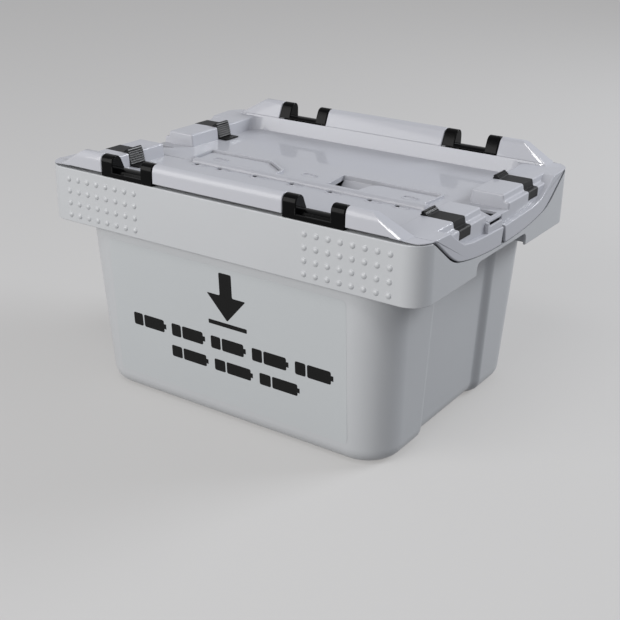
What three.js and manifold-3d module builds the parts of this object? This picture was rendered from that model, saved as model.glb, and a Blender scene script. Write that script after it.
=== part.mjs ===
// Reusable collection box with a two-part hinged lid.
// Millimetres, +Z up. The origin is at the centre of the underside, X runs along the
// length of the box and the front long side faces -Y.
import * as THREE from 'three';
import { mergeVertices } from 'three/addons/utils/BufferGeometryUtils.js';
import Module from 'manifold-3d';

const wasm = await Module();
wasm.setup();

// Driving dimensions
const boxLength = 411;
const boxWidth = 300;
const boxHeight = 243.4;
const wall = 2.5;
const halfLength = boxLength / 2;
const halfWidth = boxWidth / 2;

// Heights of the rim and the lid floor, measured down from the top of the lid rails
const rimDrop = 20.2;
const lidFloorDrop = 31.4;
const skirtGap = 3.1;
const rimHeight = boxHeight - rimDrop;
const lidFloor = boxHeight - lidFloorDrop;
const railBottom = rimHeight + skirtGap;

// Tub body: how far its foot and its throat lie inside the collar
const footInsetX = 38.7;
const footInsetY = 17.2;
const throatInsetX = 32;
const throatInsetY = 6.5;
const throatDrop = 51.2;
const rimCornerDrop = 45.2;
const bodyCornerRadius = 37;
const rimCornerRadius = 28;
const footEdgeRadius = 16;
const recessDepth = 5.3;
const recessHalfWidth = 48;
const recessShoulder = 64;
const footHalfLength = halfLength - footInsetX;
const footHalfWidth = halfWidth - footInsetY;
const throatHalfLength = halfLength - throatInsetX;
const throatHalfWidth = halfWidth - throatInsetY;
const throatHeight = rimHeight - throatDrop;
const rimCornerHeight = rimHeight - rimCornerDrop;

// Collar round the top of the tub, measured down from the rim
const collarDepth = 52.8;
const collarChamfer = 0.8;
const collarCorner = 20;
const flangeThickness = 3;
const ribThickness = 2;
const ribDrop = 49.2;
const ribBeforeHinge = 52;
const ribBehindHinge = 48;
const ribBesideGrip = 27;
const ribBesideCorner = 32;
const gripHalfWidth = 51;
const gripDrop = 40.5;
const gripDepth = 22.7;
const gripCorner = 7;
const collarBottom = rimHeight - collarDepth;
const flangeUnderside = rimHeight - flangeThickness;
const ribBottom = rimHeight - ribDrop;
const gripTop = rimHeight - gripDrop;
const gripBottom = gripTop - gripDepth;

// Sweeping dip of the rim at both ends, from the middle out
const dipDepth = 37.5;
const dipInset = 15.5;
const dipShares = [[0, 0], [0.372, 0], [0.639, 0.203], [0.721, 0.264], [0.803, 0.48], [1, 1]];
const dipReach = halfWidth - dipInset;
const dipLow = rimHeight - dipDepth;
const dipPoints = spread(dipShares, [0, dipLow], [dipReach, dipDepth]);

// Grip dots on the collar
const dotPitch = 11.7;
const dotRadius = 2.6;
const dotTipRadius = 1.5;
const dotHeight = 1.2;
const dotColumns = 8;
const dotRows = 4;
const dotColumnInset = 111.5;
const dotRowDrop = 10.2;
const dotSides = 5;
const dotFirstColumn = halfLength - dotColumnInset;
const dotTopRow = rimHeight - dotRowDrop;

// Lid: the folded rail along each hinge side, from its outer face inwards
const lidThickness = 2.5;
const railDepth = 23.8;
const railRise = boxHeight - railBottom;
const railShares = [[0, 0.6], [0.076, 0.84], [0.252, 1], [0.4, 0.955], [0.592, 0.655], [0.769, 0.03]];
const railPoints = spread(railShares, [halfWidth, railBottom], [-railDepth, railRise]);
const [railSide, railShoulder, railCrest, railCrestInner, railBack, railCrease] = railPoints;
const railFoot = [halfWidth - railDepth, lidFloor];
const lidUnderside = lidFloor - lidThickness;
const bevelTopInset = 49;
const bevelToeInset = 23.5;
const bevelOverrun = 4.5;
const bevelFall = 15.4;
const bevelTopX = halfLength - bevelTopInset;
const bevelToeX = halfLength - bevelToeInset;
const bevelOuterX = halfLength + bevelOverrun;
const bevelToeZ = boxHeight - bevelFall;

// Raised pads at the lid ends, measured in from the ends and up from the lid floor
const padFootInset = 44;
const padInnerInset = 42;
const padOuterInset = 11.1;
const padStepInset = 10.1;
const stepOuterInset = 5.5;
const stepFaceInset = 4.8;
const padRise = 13;
const stepRise = 6.6;
const frontPadEdge = 28.7;
const backPadEdge = 16.5;
const padFoot = [halfLength - padFootInset, lidFloor];
const padTopInner = [halfLength - padInnerInset, lidFloor + padRise];
const padTopOuter = [halfLength - padOuterInset, lidFloor + padRise];
const padStep = [halfLength - padStepInset, lidFloor + stepRise];
const stepOuter = [halfLength - stepOuterInset, lidFloor + stepRise];
const stepFace = halfLength - stepFaceInset;

// Lower ledge of the lid ends, from the split out to the rail
const splitGap = 1.3;
const ledgeInset = 19;
const ledgeDrop = 9.7;
const ledgeShares = [[0.286, 0.044], [0.458, 0.088], [0.599, 0.211], [0.71, 0.577], [0.809, 0.965]];
const ledgeLow = lidFloor - ledgeDrop;
const ledgeRise = ledgeDrop + padRise;
const ledgeEnd = [halfWidth - ledgeInset, ledgeLow + ledgeRise];
const ledgeLine = [[splitGap, ledgeLow], ...spread(ledgeShares, [0, ledgeLow], [ledgeEnd[0], ledgeRise])];

// Lip of the lid ends, which follows the dip of the rim
const lipGap = 0.4;
const lipStartY = 4;
const lipShares = [[0.372, 0], [0.6245, 0.1866], [0.6885, 0.234], [0.803, 0.515], [1, 1]];
const lipLow = dipLow + lipGap;
const lipStart = [lipStartY, lipLow];
const lipPoints = spread(lipShares, [0, lipLow], [dipReach, railBottom - lipLow]);
const [lipBend, lipFlank, lipElbow, lipRise, lipTop] = lipPoints;
const lipCornerInset = 43.5;
const lipLimitInsetX = 39.5;
const lipLimitInsetY = 21.1;
const lipCornerX = halfLength - lipCornerInset;
const lipLimitX = halfLength - lipLimitInsetX;
const lipLimitY = halfWidth - lipLimitInsetY;

// Ends of the meeting line: a notched wall behind, a low lip in front
const notchMiddle = 2.7;
const notchTop = 3.4;
const notchDrop = 3;
const frontLipDrop = 3.3;
const frontLipInset = 1.6;
const tongueGap = 0.5;
const wallNotch = [[splitGap, ledgeLow], [notchMiddle, lidFloor - notchDrop], [notchTop, lidFloor]];
const frontLipTop = lidFloor - frontLipDrop;
const frontLipOuter = halfLength - frontLipInset;
const frontLipInner = frontLipOuter - wall;
const tongueOuter = stepFace - tongueGap;

// Meeting line of the two halves: split, ridge and the edge behind it
const splitFront = -25.6;
const splitBack = -24.4;
const ridgeBack = -20.5;
const ridgeFront = -30;
const ridgeRise = 4;
const ridgeLeftInset = 80.5;
const ridgeRightInset = 64.5;
const edgeBehindRidge = -18.6;
const ridgeTop = lidFloor + ridgeRise;
const ridgeLeft = ridgeLeftInset - halfLength;
const ridgeRight = halfLength - ridgeRightInset;

// Teeth of the front half in rimmed pockets of the back half: shares of the length that
// they cover on each side and of their depth from the root
const pocketInset = 69;
const toothRoot = -24;
const toothDepth = 38.5;
const rimRise = 2;
const leafDrop = 9;
const leafLean = 3;
const toothLeftShares = [[-0.945, 0], [-0.97, 0.961], [-0.447, 1], [-0.236, 0.462], [-0.236, 0]];
const pocketLeftShares = [[-0.952, -0.4], [-0.979, 0.992], [-0.444, 1.034], [-0.227, 0.478], [-0.227, -0.4]];
const rimLeftShares = [[-0.971, 0.14], [-0.998, 1.06], [-0.438, 1.101], [-0.208, 0.514], [-0.208, 0.14]];
const toothRightShares = [
  [0.445, 0], [0.445, 0.416], [0.462, 0.847], [0.52, 1], [0.976, 0.995], [0.96, 0],
];
const pocketRightShares = [[0.234, -0.4], [0.227, 0.39], [0.201, 1.034], [0.985, 1.029], [0.969, -0.4]];
const rimRightShares = [[0.212, 0.14], [0.208, 0.382], [0.18, 1.101], [1.004, 1.096], [0.988, 0.14]];
const pocketReach = halfLength - pocketInset;
const rimTop = lidFloor + rimRise;

// Openings at the ends of the split and the sight holes in the front half
const endHoleInset = 30.2;
const endHoleLow = -9.6;
const endHoleLength = 20.2;
const endHoleWidth = 13.8;
const endHoleShares = [[0, 0.928], [1, 1], [1, 0]];
const peepInset = 89.9;
const peepShares = [-1, -0.75, -0.376, 0, 0.376, 0.75, 1];
const peepY = -34;
const peepRadius = 1.6;
const peepSides = 8;
const peepRecess = 0.8;
const peepRecessLength = 13;
const peepRecessHalf = 2.6;

// Hinges: the axis runs along X through the rail
const hingeInsetY = 7.5;
const hingeDrop = 8.9;
const hingeInsetX = 103.5;
const trunnionRadius = 2.9;
const trunnionLength = 2.7;
const bearingRadius = 3.2;
const hingeGap = 0.5;
const webThickness = 3;
const hingeClearRadius = 13.7;
const hingeX = halfLength - hingeInsetX;
const hingeY = halfWidth - hingeInsetY;
const hingeZ = boxHeight - hingeDrop;
const longRibPlaces = [0, hingeX - ribBeforeHinge, hingeX + ribBehindHinge];
const endRibPlaces = [gripHalfWidth + ribBesideGrip, halfWidth - ribBesideCorner];

// Hinge brackets, measured in from the outer face and up or down from the rim
const bracketHalf = 30.5;
const lobeWidth = 13.5;
const seatGap = 0.3;
const bracketDepth = 9;
const lobeDepth = 17.6;
const lobeLift = 4.1;
const bridgeFrontRise = 4.5;
const bridgeGrooveRise = 3;
const bridgeBackRise = 6.2;
const bridgeLipInset = 1.8;
const bridgeGrooveInset = 2.8;
const bridgeGrooveWidth = 2.2;
const bridgeBarInset = 6.4;
const legX = 23.7;
const legHalf = 3.6;
const legInset = 3.3;
const legThickness = 2.6;
const legDrop = 10.2;
const barbHalf = 5.2;
const barbHeight = 3.4;
const slotGap = 0.4;
const bracketSeat = rimHeight + seatGap;
const bracketInner = halfWidth - bracketDepth;
const lobeInner = halfWidth - lobeDepth;
const lobeUnderside = rimHeight + lobeLift;
const bridgeFront = bracketSeat + bridgeFrontRise;
const bridgeGroove = bracketSeat + bridgeGrooveRise;
const bridgeBack = bracketSeat + bridgeBackRise;
const bridgeLip = halfWidth - bridgeLipInset;
const bridgeGrooveOuter = halfWidth - bridgeGrooveInset;
const bridgeGrooveInner = bridgeGrooveOuter - bridgeGrooveWidth;
const bridgeBarOuter = halfWidth - bridgeBarInset;
const legOuter = halfWidth - legInset;
const legInner = legOuter - legThickness;
const legBottom = rimHeight - legDrop;
const barbTop = flangeUnderside - seatGap;
const barbBottom = barbTop - barbHeight;

// Anti-slip strips laid over the pads
const stripInset = 69.8;
const stripWidth = 20.7;
const stripSeat = 1.7;
const stripGap = 0.3;
const stripThickness = 1.4;
const stripToeLength = 11;
const stripToeHeight = 1.5;
const stripHeelGap = 0.6;
const stripEndDrop = 2.1;
const beadWidth = 5.1;
const beadHeight = 3.2;
const beadShares = [[0.18, 0.5], [0.47, 1], [0.8, 0.81], [1, 0]];
const stripOuter = halfWidth - stripInset;
const stripInner = stripOuter - stripWidth;
const stripToeX = padFoot[0] - stripToeLength;
const stripToeTop = lidFloor + stripToeHeight;
const stripHeelX = padFoot[0] - stripHeelGap;
const stripLowEnd = lidFloor - stripEndDrop;
const beadPoints = spread(beadShares, padTopInner, [beadWidth, beadHeight]);

// Values that only give room for cuts, and counts of facets
const reach = 30;
const overlap = 1;
const wideReach = halfLength + reach;
const highReach = boxHeight + reach;
const arcSteps = 6;
const lineSteps = 3;
const roundSides = 18;
const sideSigns = [-1, 1];

// Points written as shares of a width and a height, from a starting point
function spread(shares, [fromAcross, fromUp], [width, height]) {
  return shares.map(([across, up]) => [fromAcross + across * width, fromUp + up * height]);
}

// Solids from three.js shapes
function solid(geometry) {
  const bare = geometry.clone();
  bare.deleteAttribute('normal');
  bare.deleteAttribute('uv');
  const merged = mergeVertices(bare);
  return new wasm.Manifold(new wasm.Mesh({
    numProp: 3,
    vertProperties: new Float32Array(merged.attributes.position.array),
    triVerts: new Uint32Array(merged.index.array),
  }));
}

function extrude(points, start, end, axes) {
  const shape = new THREE.Shape(points.map(([a, b]) => new THREE.Vector2(a, b)));
  const geometry = new THREE.ExtrudeGeometry(shape, { depth: end - start, bevelEnabled: false });
  geometry.translate(0, 0, start);
  geometry.applyMatrix4(axes);
  return solid(geometry);
}

// The outline is given as [y, z] pairs
function alongX(points, start, end) {
  const axes = new THREE.Matrix4().set(0, 0, 1, 0, 1, 0, 0, 0, 0, 1, 0, 0, 0, 0, 0, 1);
  return extrude(points, start, end, axes);
}

// The outline is given as [x, z] pairs
function alongY(points, start, end) {
  const axes = new THREE.Matrix4().set(0, 1, 0, 0, 0, 0, 1, 0, 1, 0, 0, 0, 0, 0, 0, 1);
  return extrude(points.map(([x, z]) => [z, x]), start, end, axes);
}

// The outline is given as [x, y] pairs
function alongZ(points, start, end) {
  return extrude(points, start, end, new THREE.Matrix4());
}

function block(x0, x1, y0, y1, z0, z1) {
  const geometry = new THREE.BoxGeometry(Math.abs(x1 - x0), Math.abs(y1 - y0), Math.abs(z1 - z0));
  const middle = new THREE.Vector3(x0 + x1, y0 + y1, z0 + z1).divideScalar(2);
  geometry.translate(middle.x, middle.y, middle.z);
  return solid(geometry);
}

function roundBar(radius, x0, x1, y, z, sides) {
  const geometry = new THREE.CylinderGeometry(radius, radius, Math.abs(x1 - x0), sides);
  geometry.rotateZ(Math.PI / 2);
  geometry.translate((x0 + x1) / 2, y, z);
  return solid(geometry);
}

function join(pieces) {
  return pieces.reduce((whole, piece) => whole.add(piece));
}

function cut(body, pieces) {
  return pieces.reduce((rest, piece) => rest.subtract(piece), body);
}

function turned(points, sign) {
  return points.map(([across, height]) => [sign * across, height]);
}

function lowered(points, drop) {
  return points.map(([across, height]) => [across, height - drop]);
}

function curvePoints(start, curves, steps) {
  const path = new THREE.Path();
  path.moveTo(...start);
  for (const [bend, end] of curves) {
    path.quadraticCurveTo(...bend, ...end);
  }
  return path.getPoints(steps).map((point) => [point.x, point.y]);
}

function cornerArc(centreX, centreY, radius, startAngle) {
  const arc = new THREE.Path();
  arc.absarc(centreX, centreY, radius, startAngle, startAngle + Math.PI / 2, false);
  return arc.getPoints(arcSteps).map((point) => [point.x, point.y]);
}

function roundedPlan(halfX, halfY, radius) {
  const x = halfX - radius;
  const y = halfY - radius;
  return [
    ...cornerArc(x, -y, radius, -Math.PI / 2),
    ...cornerArc(x, y, radius, 0),
    ...cornerArc(-x, y, radius, Math.PI / 2),
    ...cornerArc(-x, -y, radius, Math.PI),
  ];
}

// Body plan with a shallow recess swept into both short sides
function bodyPlan(halfX, halfY, radius) {
  const half = [...cornerArc(halfX - radius, radius - halfY, radius, -Math.PI / 2)];
  for (let step = arcSteps; step >= -arcSteps; step -= 1) {
    const share = Math.abs(step) / arcSteps;
    const y = recessHalfWidth + share * (recessShoulder - recessHalfWidth);
    const depth = recessDepth * (1 + Math.cos(share * Math.PI)) / 2;
    if (step > 0) half.push([halfX - depth, -y]);
    if (step === 0) half.push([halfX - depth, -y], [halfX - depth, y]);
    if (step < 0) half.push([halfX - depth, y]);
  }
  half.push(...cornerArc(halfX - radius, halfY - radius, radius, 0));
  return [...half, ...half.map(([x, y]) => [-x, -y])];
}

// A closed body through plans of equal point count at rising heights
function loft(levels) {
  const count = levels[0].plan.length;
  const positions = [];
  const faces = [];
  for (const { plan, z } of levels) {
    for (const [x, y] of plan) positions.push(x, y, z);
  }
  for (let level = 0; level + 1 < levels.length; level += 1) {
    for (let i = 0; i < count; i += 1) {
      const next = (i + 1) % count;
      const low = level * count;
      const high = low + count;
      faces.push(low + i, low + next, high + next, low + i, high + next, high + i);
    }
  }
  const top = (levels.length - 1) * count;
  const contour = levels[0].plan.map(([x, y]) => new THREE.Vector2(x, y));
  for (const [a, b, c] of THREE.ShapeUtils.triangulateShape(contour, [])) {
    faces.push(a, c, b, top + a, top + b, top + c);
  }
  const geometry = new THREE.BufferGeometry();
  geometry.setAttribute('position', new THREE.Float32BufferAttribute(positions, 3));
  geometry.setIndex(faces);
  return solid(geometry);
}

// Tub
function bodyShape(inset, top) {
  const levels = [];
  const edge = footEdgeRadius - inset;
  for (let step = 0; step <= lineSteps; step += 1) {
    const angle = step / lineSteps * Math.PI / 2;
    const back = inset + edge * (1 - Math.sin(angle));
    const plan = bodyPlan(footHalfLength - back, footHalfWidth - back, bodyCornerRadius - back);
    levels.push({ plan, z: inset + edge * (1 - Math.cos(angle)) });
  }
  const throat = bodyPlan(
    throatHalfLength - inset,
    throatHalfWidth - inset,
    bodyCornerRadius - inset,
  );
  const rim = bodyPlan(
    throatHalfLength - inset,
    throatHalfWidth - inset,
    rimCornerRadius - inset,
  );
  levels.push({ plan: throat, z: throatHeight });
  levels.push({ plan: rim, z: rimCornerHeight }, { plan: rim, z: top });
  return loft(levels);
}

function dipHalf() {
  const [middle, bend, flank, elbow, rise, top] = dipPoints;
  return [...curvePoints(middle, [[bend, flank], [elbow, rise]], lineSteps), top];
}

function dipLine() {
  const half = dipHalf();
  return [...turned(half.slice(1), -1).reverse(), ...half];
}

function aboveDip() {
  const line = dipLine();
  return alongX([...line, [dipReach, highReach], [-dipReach, highReach]], -wideReach, wideReach);
}

function collarShell() {
  const low = roundedPlan(halfLength - collarChamfer, halfWidth - collarChamfer, collarCorner);
  const full = roundedPlan(halfLength, halfWidth, collarCorner);
  return loft([
    { plan: low, z: collarBottom },
    { plan: full, z: collarBottom + collarChamfer },
    { plan: full, z: rimHeight },
  ]);
}

function collarHollow(body) {
  const plan = roundedPlan(halfLength - wall, halfWidth - wall, collarCorner - wall);
  const prism = alongZ(plan, collarBottom - reach, flangeUnderside);
  const line = lowered(dipLine(), flangeThickness);
  const low = collarBottom - reach - overlap;
  const under = [
    [-halfWidth, low],
    [halfWidth, low],
    [halfWidth, flangeUnderside],
    ...line.reverse(),
    [-halfWidth, flangeUnderside],
  ];
  return prism.intersect(alongX(under, -wideReach, wideReach)).subtract(body);
}

function collarRibs() {
  const ribs = [];
  const half = ribThickness / 2;
  for (const side of sideSigns) {
    for (const mirror of sideSigns) {
      for (const place of longRibPlaces) {
        const x = mirror * place;
        const inner = side * (throatHalfWidth - overlap);
        ribs.push(block(x - half, x + half, inner, side * (halfWidth - overlap), ribBottom, rimHeight));
      }
      for (const place of endRibPlaces) {
        const y = mirror * place;
        const inner = side * (throatHalfLength - overlap);
        ribs.push(block(inner, side * (halfLength - overlap), y - half, y + half, ribBottom, rimHeight));
      }
    }
  }
  return ribs;
}

function gripCuts() {
  const low = gripBottom;
  const side = gripHalfWidth;
  const corner = curvePoints([side, gripTop - gripCorner],
    [[[side, gripTop], [side - gripCorner, gripTop]]], lineSteps);
  const outline = [[-side, low], [side, low], ...corner, ...turned(corner, -1).reverse()];
  const start = halfLength - wall - overlap;
  return sideSigns.map((sign) => alongX(outline, ...turnedRange(start, wideReach, sign)));
}

function turnedRange(start, end, sign) {
  return sign > 0 ? [start, end] : [-end, -start];
}

function gripDots() {
  const dots = [];
  for (const side of sideSigns) {
    for (const end of sideSigns) {
      for (let column = 0; column < dotColumns; column += 1) {
        for (let row = 0; row < dotRows; row += 1) {
          const length = dotHeight + wall / 2;
          const geometry = new THREE.CylinderGeometry(dotTipRadius, dotRadius, length, dotSides);
          if (side < 0) geometry.rotateX(Math.PI);
          const x = end * (dotFirstColumn + column * dotPitch);
          const y = side * (halfWidth + dotHeight - length / 2);
          geometry.translate(x, y, dotTopRow - row * dotPitch);
          dots.push(solid(geometry));
        }
      }
    }
  }
  return dots;
}

function legSlots() {
  const slots = [];
  for (const side of sideSigns) {
    for (const end of sideSigns) {
      for (const leg of sideSigns) {
        const middle = end * hingeX + leg * legX;
        slots.push(block(
          middle - legHalf - slotGap,
          middle + legHalf + slotGap,
          side * (legInner - slotGap),
          side * (legOuter + slotGap),
          flangeUnderside - overlap,
          highReach,
        ));
      }
    }
  }
  return slots;
}

function tubSolid() {
  const body = bodyShape(0, rimHeight);
  const shell = body.add(collarShell()).subtract(collarHollow(body));
  const ribbed = join([shell, ...collarRibs()]);
  const inside = bodyShape(wall, highReach);
  const hollow = cut(ribbed, [aboveDip(), inside, ...gripCuts(), ...legSlots()]);
  return join([hollow, ...gripDots()]);
}

// Lid halves: side is -1 for the front one and 1 for the back one
function railOutline() {
  return [[halfWidth, railBottom], ...railPoints];
}

function railBody(side) {
  const outline = [
    ...railOutline(),
    railFoot,
    [railFoot[0], lidUnderside],
    [railFoot[0] + wall, lidUnderside],
    [railCrease[0] + wall, railBottom],
  ];
  return alongX(turned(outline, side), -halfLength, halfLength);
}

function railCavity(side) {
  const outline = [
    [halfWidth - wall, railBottom - overlap],
    [railSide[0] - wall, railSide[1] - overlap],
    [railShoulder[0] - wall, railShoulder[1] - wall],
    [railCrest[0] - overlap, railCrest[1] - wall],
    [railCrestInner[0] + overlap, railCrestInner[1] - wall],
    [railBack[0] + wall, railBack[1] - overlap],
    [railCrease[0] + wall + stripGap, railBottom - overlap],
  ];
  return alongX(turned(outline, side), wall - halfLength, halfLength - wall);
}

function padProfile(inset) {
  return [
    [padFoot[0] + inset, lidFloor],
    [padTopInner[0] + inset, padTopInner[1] - inset],
    [padTopOuter[0] - inset, padTopOuter[1] - inset],
    [padStep[0] - inset, padStep[1] - inset],
    [stepOuter[0] - inset, stepOuter[1] - inset],
    [stepFace - inset, stepOuter[1] - inset - overlap],
  ];
}

function sideRange(near, far, side) {
  return side > 0 ? [near, far] : [-far, -near];
}

function padBody(side, end, edge) {
  const outline = [...padProfile(0), [stepFace, lidUnderside], [padFoot[0], lidUnderside]];
  return alongY(turned(outline, end), ...sideRange(edge, ledgeEnd[0], side));
}

function padHollow(side, end, near, far, inset) {
  const low = lidUnderside - overlap;
  const profile = padProfile(inset);
  const outline = [...profile, [stepFace - inset, low], [padFoot[0] + inset, low]];
  return alongY(turned(outline, end), ...sideRange(near, far, side));
}

function padHollows(side, end, edge) {
  const backed = stripSeat + wall;
  const nearStrip = stripInner - wall;
  const farStrip = stripOuter + wall;
  return [
    padHollow(side, end, edge + wall, nearStrip, wall),
    padHollow(side, end, nearStrip - overlap / 2, farStrip + overlap / 2, backed),
    padHollow(side, end, farStrip, railFoot[0] - wall / 2, wall),
  ];
}

function lipLine() {
  return curvePoints(lipStart, [[lipBend, lipFlank], [lipElbow, lipRise]], lineSteps);
}

function endBand(side, end, inner) {
  const outline = [...ledgeLine, ledgeEnd, [ledgeEnd[0], railBottom], lipTop, ...lipLine().reverse()];
  return alongX(turned(outline, side), ...turnedRange(inner, halfLength, end));
}

// Under each pad the step face goes on down to the ledge
function stepWall(side, end, edge) {
  const foot = lowered(ledgeLine.slice(1, -1), overlap);
  const outline = [[edge, lidFloor], [edge, ledgeLow - overlap], ...foot];
  return alongX(turned(outline, side), ...turnedRange(stepFace - wall, stepFace, end));
}

// The step face of the back half runs on beside the split as a short wall
function splitWall(side, end) {
  const outline = [...wallNotch, [backPadEdge + wall, lidFloor], [backPadEdge + wall, ledgeLine[0][1]]];
  return alongX(turned(outline, side), ...turnedRange(stepFace - wall, stepFace, end));
}

// On the front half a low lip stands outside the tongue of the back half
function frontLip(side, end) {
  const outline = [
    wallNotch[0],
    wallNotch[1],
    [wallNotch[1][0], frontLipTop],
    [frontPadEdge + wall, frontLipTop],
    [frontPadEdge + wall, ledgeLine[0][1]],
  ];
  const outer = alongX(turned(outline, side), ...turnedRange(frontLipInner, frontLipOuter, end));
  const tie = [[frontPadEdge, ledgeLine[0][1] - wall], [frontPadEdge + wall, ledgeLine[0][1] - wall],
    [frontPadEdge + wall, lidFloor], [frontPadEdge, lidFloor]];
  return outer.add(alongX(turned(tie, side), ...turnedRange(stepFace - wall, frontLipOuter, end)));
}

function endCavity(side, end, inner) {
  const near = ledgeLine[0][0] - reach;
  const line = lowered(ledgeLine, wall);
  const outline = [
    [near, line[0][1]],
    ...line,
    [railFoot[0], ledgeEnd[1] - wall],
    [railFoot[0], lidUnderside - reach],
    [near, lidUnderside - reach],
  ];
  return alongX(turned(outline, side), ...turnedRange(inner, halfLength - wall, end));
}

function lidWing(side, end) {
  const front = side < 0;
  const edge = front ? frontPadEdge : backPadEdge;
  const middle = (padFoot[0] + padStep[0]) / 2;
  const band = endBand(side, end, middle);
  const pad = padBody(side, end, edge).add(stepWall(side, end, edge));
  if (!front) return band.add(pad).add(splitWall(side, end));
  const clear = block(end * (middle - reach), end * frontLipInner,
    -frontPadEdge, reach, lidUnderside - reach, ledgeLine[1][1]);
  return band.subtract(clear).add(pad).add(frontLip(side, end));
}

function underFloor(side, end) {
  const limit = stepFace - wall;
  return block(end * (padFoot[0] - reach), end * limit, side * -reach, side * railFoot[0],
    lidUnderside - reach, lidUnderside);
}

function bevelCut(drop) {
  return sideSigns.map((end) => {
    const outline = [
      [bevelTopX, boxHeight - drop],
      [bevelToeX, bevelToeZ - drop],
      [bevelOuterX, bevelToeZ - drop],
      [bevelOuterX, highReach],
      [bevelTopX - reach, highReach],
      [bevelTopX - reach, boxHeight + overlap - drop],
      [bevelTopX - overlap, boxHeight + overlap - drop],
    ];
    return alongY(turned(outline, end), -wideReach, wideReach);
  });
}

// Room for the hinge bracket and the end webs that carry its trunnions
function hingeRoom(side, end) {
  const half = bracketHalf + hingeGap;
  const middle = end * hingeX;
  return roundBar(hingeClearRadius, middle - half, middle + half, side * hingeY, hingeZ, roundSides);
}

function hingeWebs(side, end) {
  const half = bracketHalf + hingeGap;
  const outline = turned([...railOutline(), [railCrease[0] + wall, railBottom]], side);
  return sideSigns.map((sign) => {
    const near = end * hingeX + sign * half;
    const far = near + sign * webThickness;
    return alongX(outline, Math.min(near, far), Math.max(near, far));
  });
}

function bearing(side, end) {
  const half = bracketHalf + hingeGap + webThickness + overlap;
  const middle = end * hingeX;
  return roundBar(bearingRadius, middle - half, middle + half, side * hingeY, hingeZ, roundSides);
}

function stripChannel(side, end) {
  const profile = padProfile(stripSeat);
  const outline = [
    ...profile,
    [stepFace - stripSeat, stripLowEnd - stripGap],
    [stepFace + overlap, stripLowEnd - stripGap],
    [stepFace + overlap, highReach],
    [padFoot[0] - overlap, highReach],
    [padFoot[0] - overlap, lidFloor],
  ];
  return alongY(turned(outline, end), ...sideRange(stripInner - stripGap, stripOuter + stripGap, side));
}

// Beside the corners of the tub the lid ends above the sloping rim
function belowLip(side, end) {
  const line = lipLine();
  const low = lidUnderside - reach;
  const outline = [...line, lipTop, [halfWidth, railBottom], [halfWidth, low], [line[0][0], low]];
  const wide = alongX(turned(outline, side), ...turnedRange(lipCornerX, wideReach, end));
  const floor = block(0, end * lipLimitX, 0, side * lipLimitY, 0, highReach);
  return wide.subtract(floor);
}

function lidShell(side, floorPlan, extras) {
  const outer = [railBody(side), alongZ(floorPlan, lidUnderside, lidFloor), ...extras];
  const hollows = [railCavity(side)];
  const below = bevelCut(0);
  for (const end of sideSigns) {
    const edge = side < 0 ? frontPadEdge : backPadEdge;
    outer.push(lidWing(side, end));
    hollows.push(...padHollows(side, end, edge), endCavity(side, end, stepFace - wall - overlap));
    hollows.push(underFloor(side, end));
    below.push(belowLip(side, end));
  }
  const plan = alongZ(roundedPlan(halfLength, halfWidth, collarCorner), 0, highReach);
  const innerPlan = roundedPlan(halfLength - wall, halfWidth - wall, collarCorner - wall);
  const body = cut(join(outer).intersect(plan), below);
  const hollow = cut(join(hollows).intersect(alongZ(innerPlan, 0, highReach)), bevelCut(wall + overlap / 2));
  return body.subtract(hollow);
}

function fitLid(shell, side) {
  const rooms = [];
  const webs = [];
  const late = [];
  for (const end of sideSigns) {
    rooms.push(hingeRoom(side, end));
    webs.push(...hingeWebs(side, end));
    late.push(bearing(side, end), stripChannel(side, end));
  }
  return cut(join([cut(shell, rooms), ...webs]), late);
}

function ridge() {
  const outline = [
    ...curvePoints([ridgeFront, lidFloor], [[[ridgeFront + overlap, ridgeTop], [splitFront, ridgeTop]]],
      lineSteps),
    ...curvePoints([splitBack, ridgeTop], [[[ridgeBack, ridgeTop], [ridgeBack, lidFloor]]], lineSteps),
    [ridgeBack, lidUnderside],
    [ridgeFront, lidUnderside],
  ];
  return alongX(outline, ridgeLeft, ridgeRight);
}

function peepCut(x) {
  const hole = [];
  for (let i = 0; i < peepSides; i += 1) {
    const angle = i / peepSides * Math.PI * 2;
    hole.push([x + peepRadius * Math.cos(angle), peepY + peepRadius * Math.sin(angle)]);
  }
  const tail = x + peepRecessLength;
  const recess = [
    [x - peepRecessHalf, peepY],
    [x, peepY - peepRecessHalf],
    [tail, peepY - peepRadius],
    [tail + peepRadius, peepY],
    [tail, peepY + peepRadius],
    [x, peepY + peepRecessHalf],
  ];
  return alongZ(hole, lidUnderside - overlap, highReach)
    .add(alongZ(recess, lidFloor - peepRecess, highReach));
}

function pocketField(shares) {
  return spread(shares, [0, toothRoot], [pocketReach, toothDepth]);
}

// Under the far edge of a pocket a leaf leans away from the teeth
function pocketLeaf(shares) {
  const [first, second] = pocketField(shares).sort((one, other) => other[1] - one[1]);
  const face = first[1];
  const outline = [
    [face, lidUnderside + overlap],
    [face + wall, lidUnderside + overlap],
    [face + wall, lidUnderside],
    [face + wall + leafLean, lidUnderside - leafDrop],
    [face + leafLean, lidUnderside - leafDrop],
    [face, lidUnderside],
  ];
  return alongX(outline, Math.min(first[0], second[0]), Math.max(first[0], second[0]));
}

function frontFlapSolid() {
  const edge = railFoot[0] + wall;
  const plan = [
    [-stepFace, -edge],
    [stepFace, -edge],
    [stepFace, splitFront],
    [ridgeRight, splitFront],
    [ridgeRight, ridgeBack],
    [ridgeLeft, ridgeBack],
    [ridgeLeft, splitFront],
    [-stepFace, splitFront],
  ];
  const teeth = [toothLeftShares, toothRightShares].map(
    (shares) => alongZ(pocketField(shares), lidUnderside, lidFloor),
  );
  const shell = lidShell(-1, plan, [...teeth, ridge()]);
  const peepReach = halfLength - peepInset;
  return cut(fitLid(shell, -1), peepShares.map((share) => peepCut(share * peepReach)));
}

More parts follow.
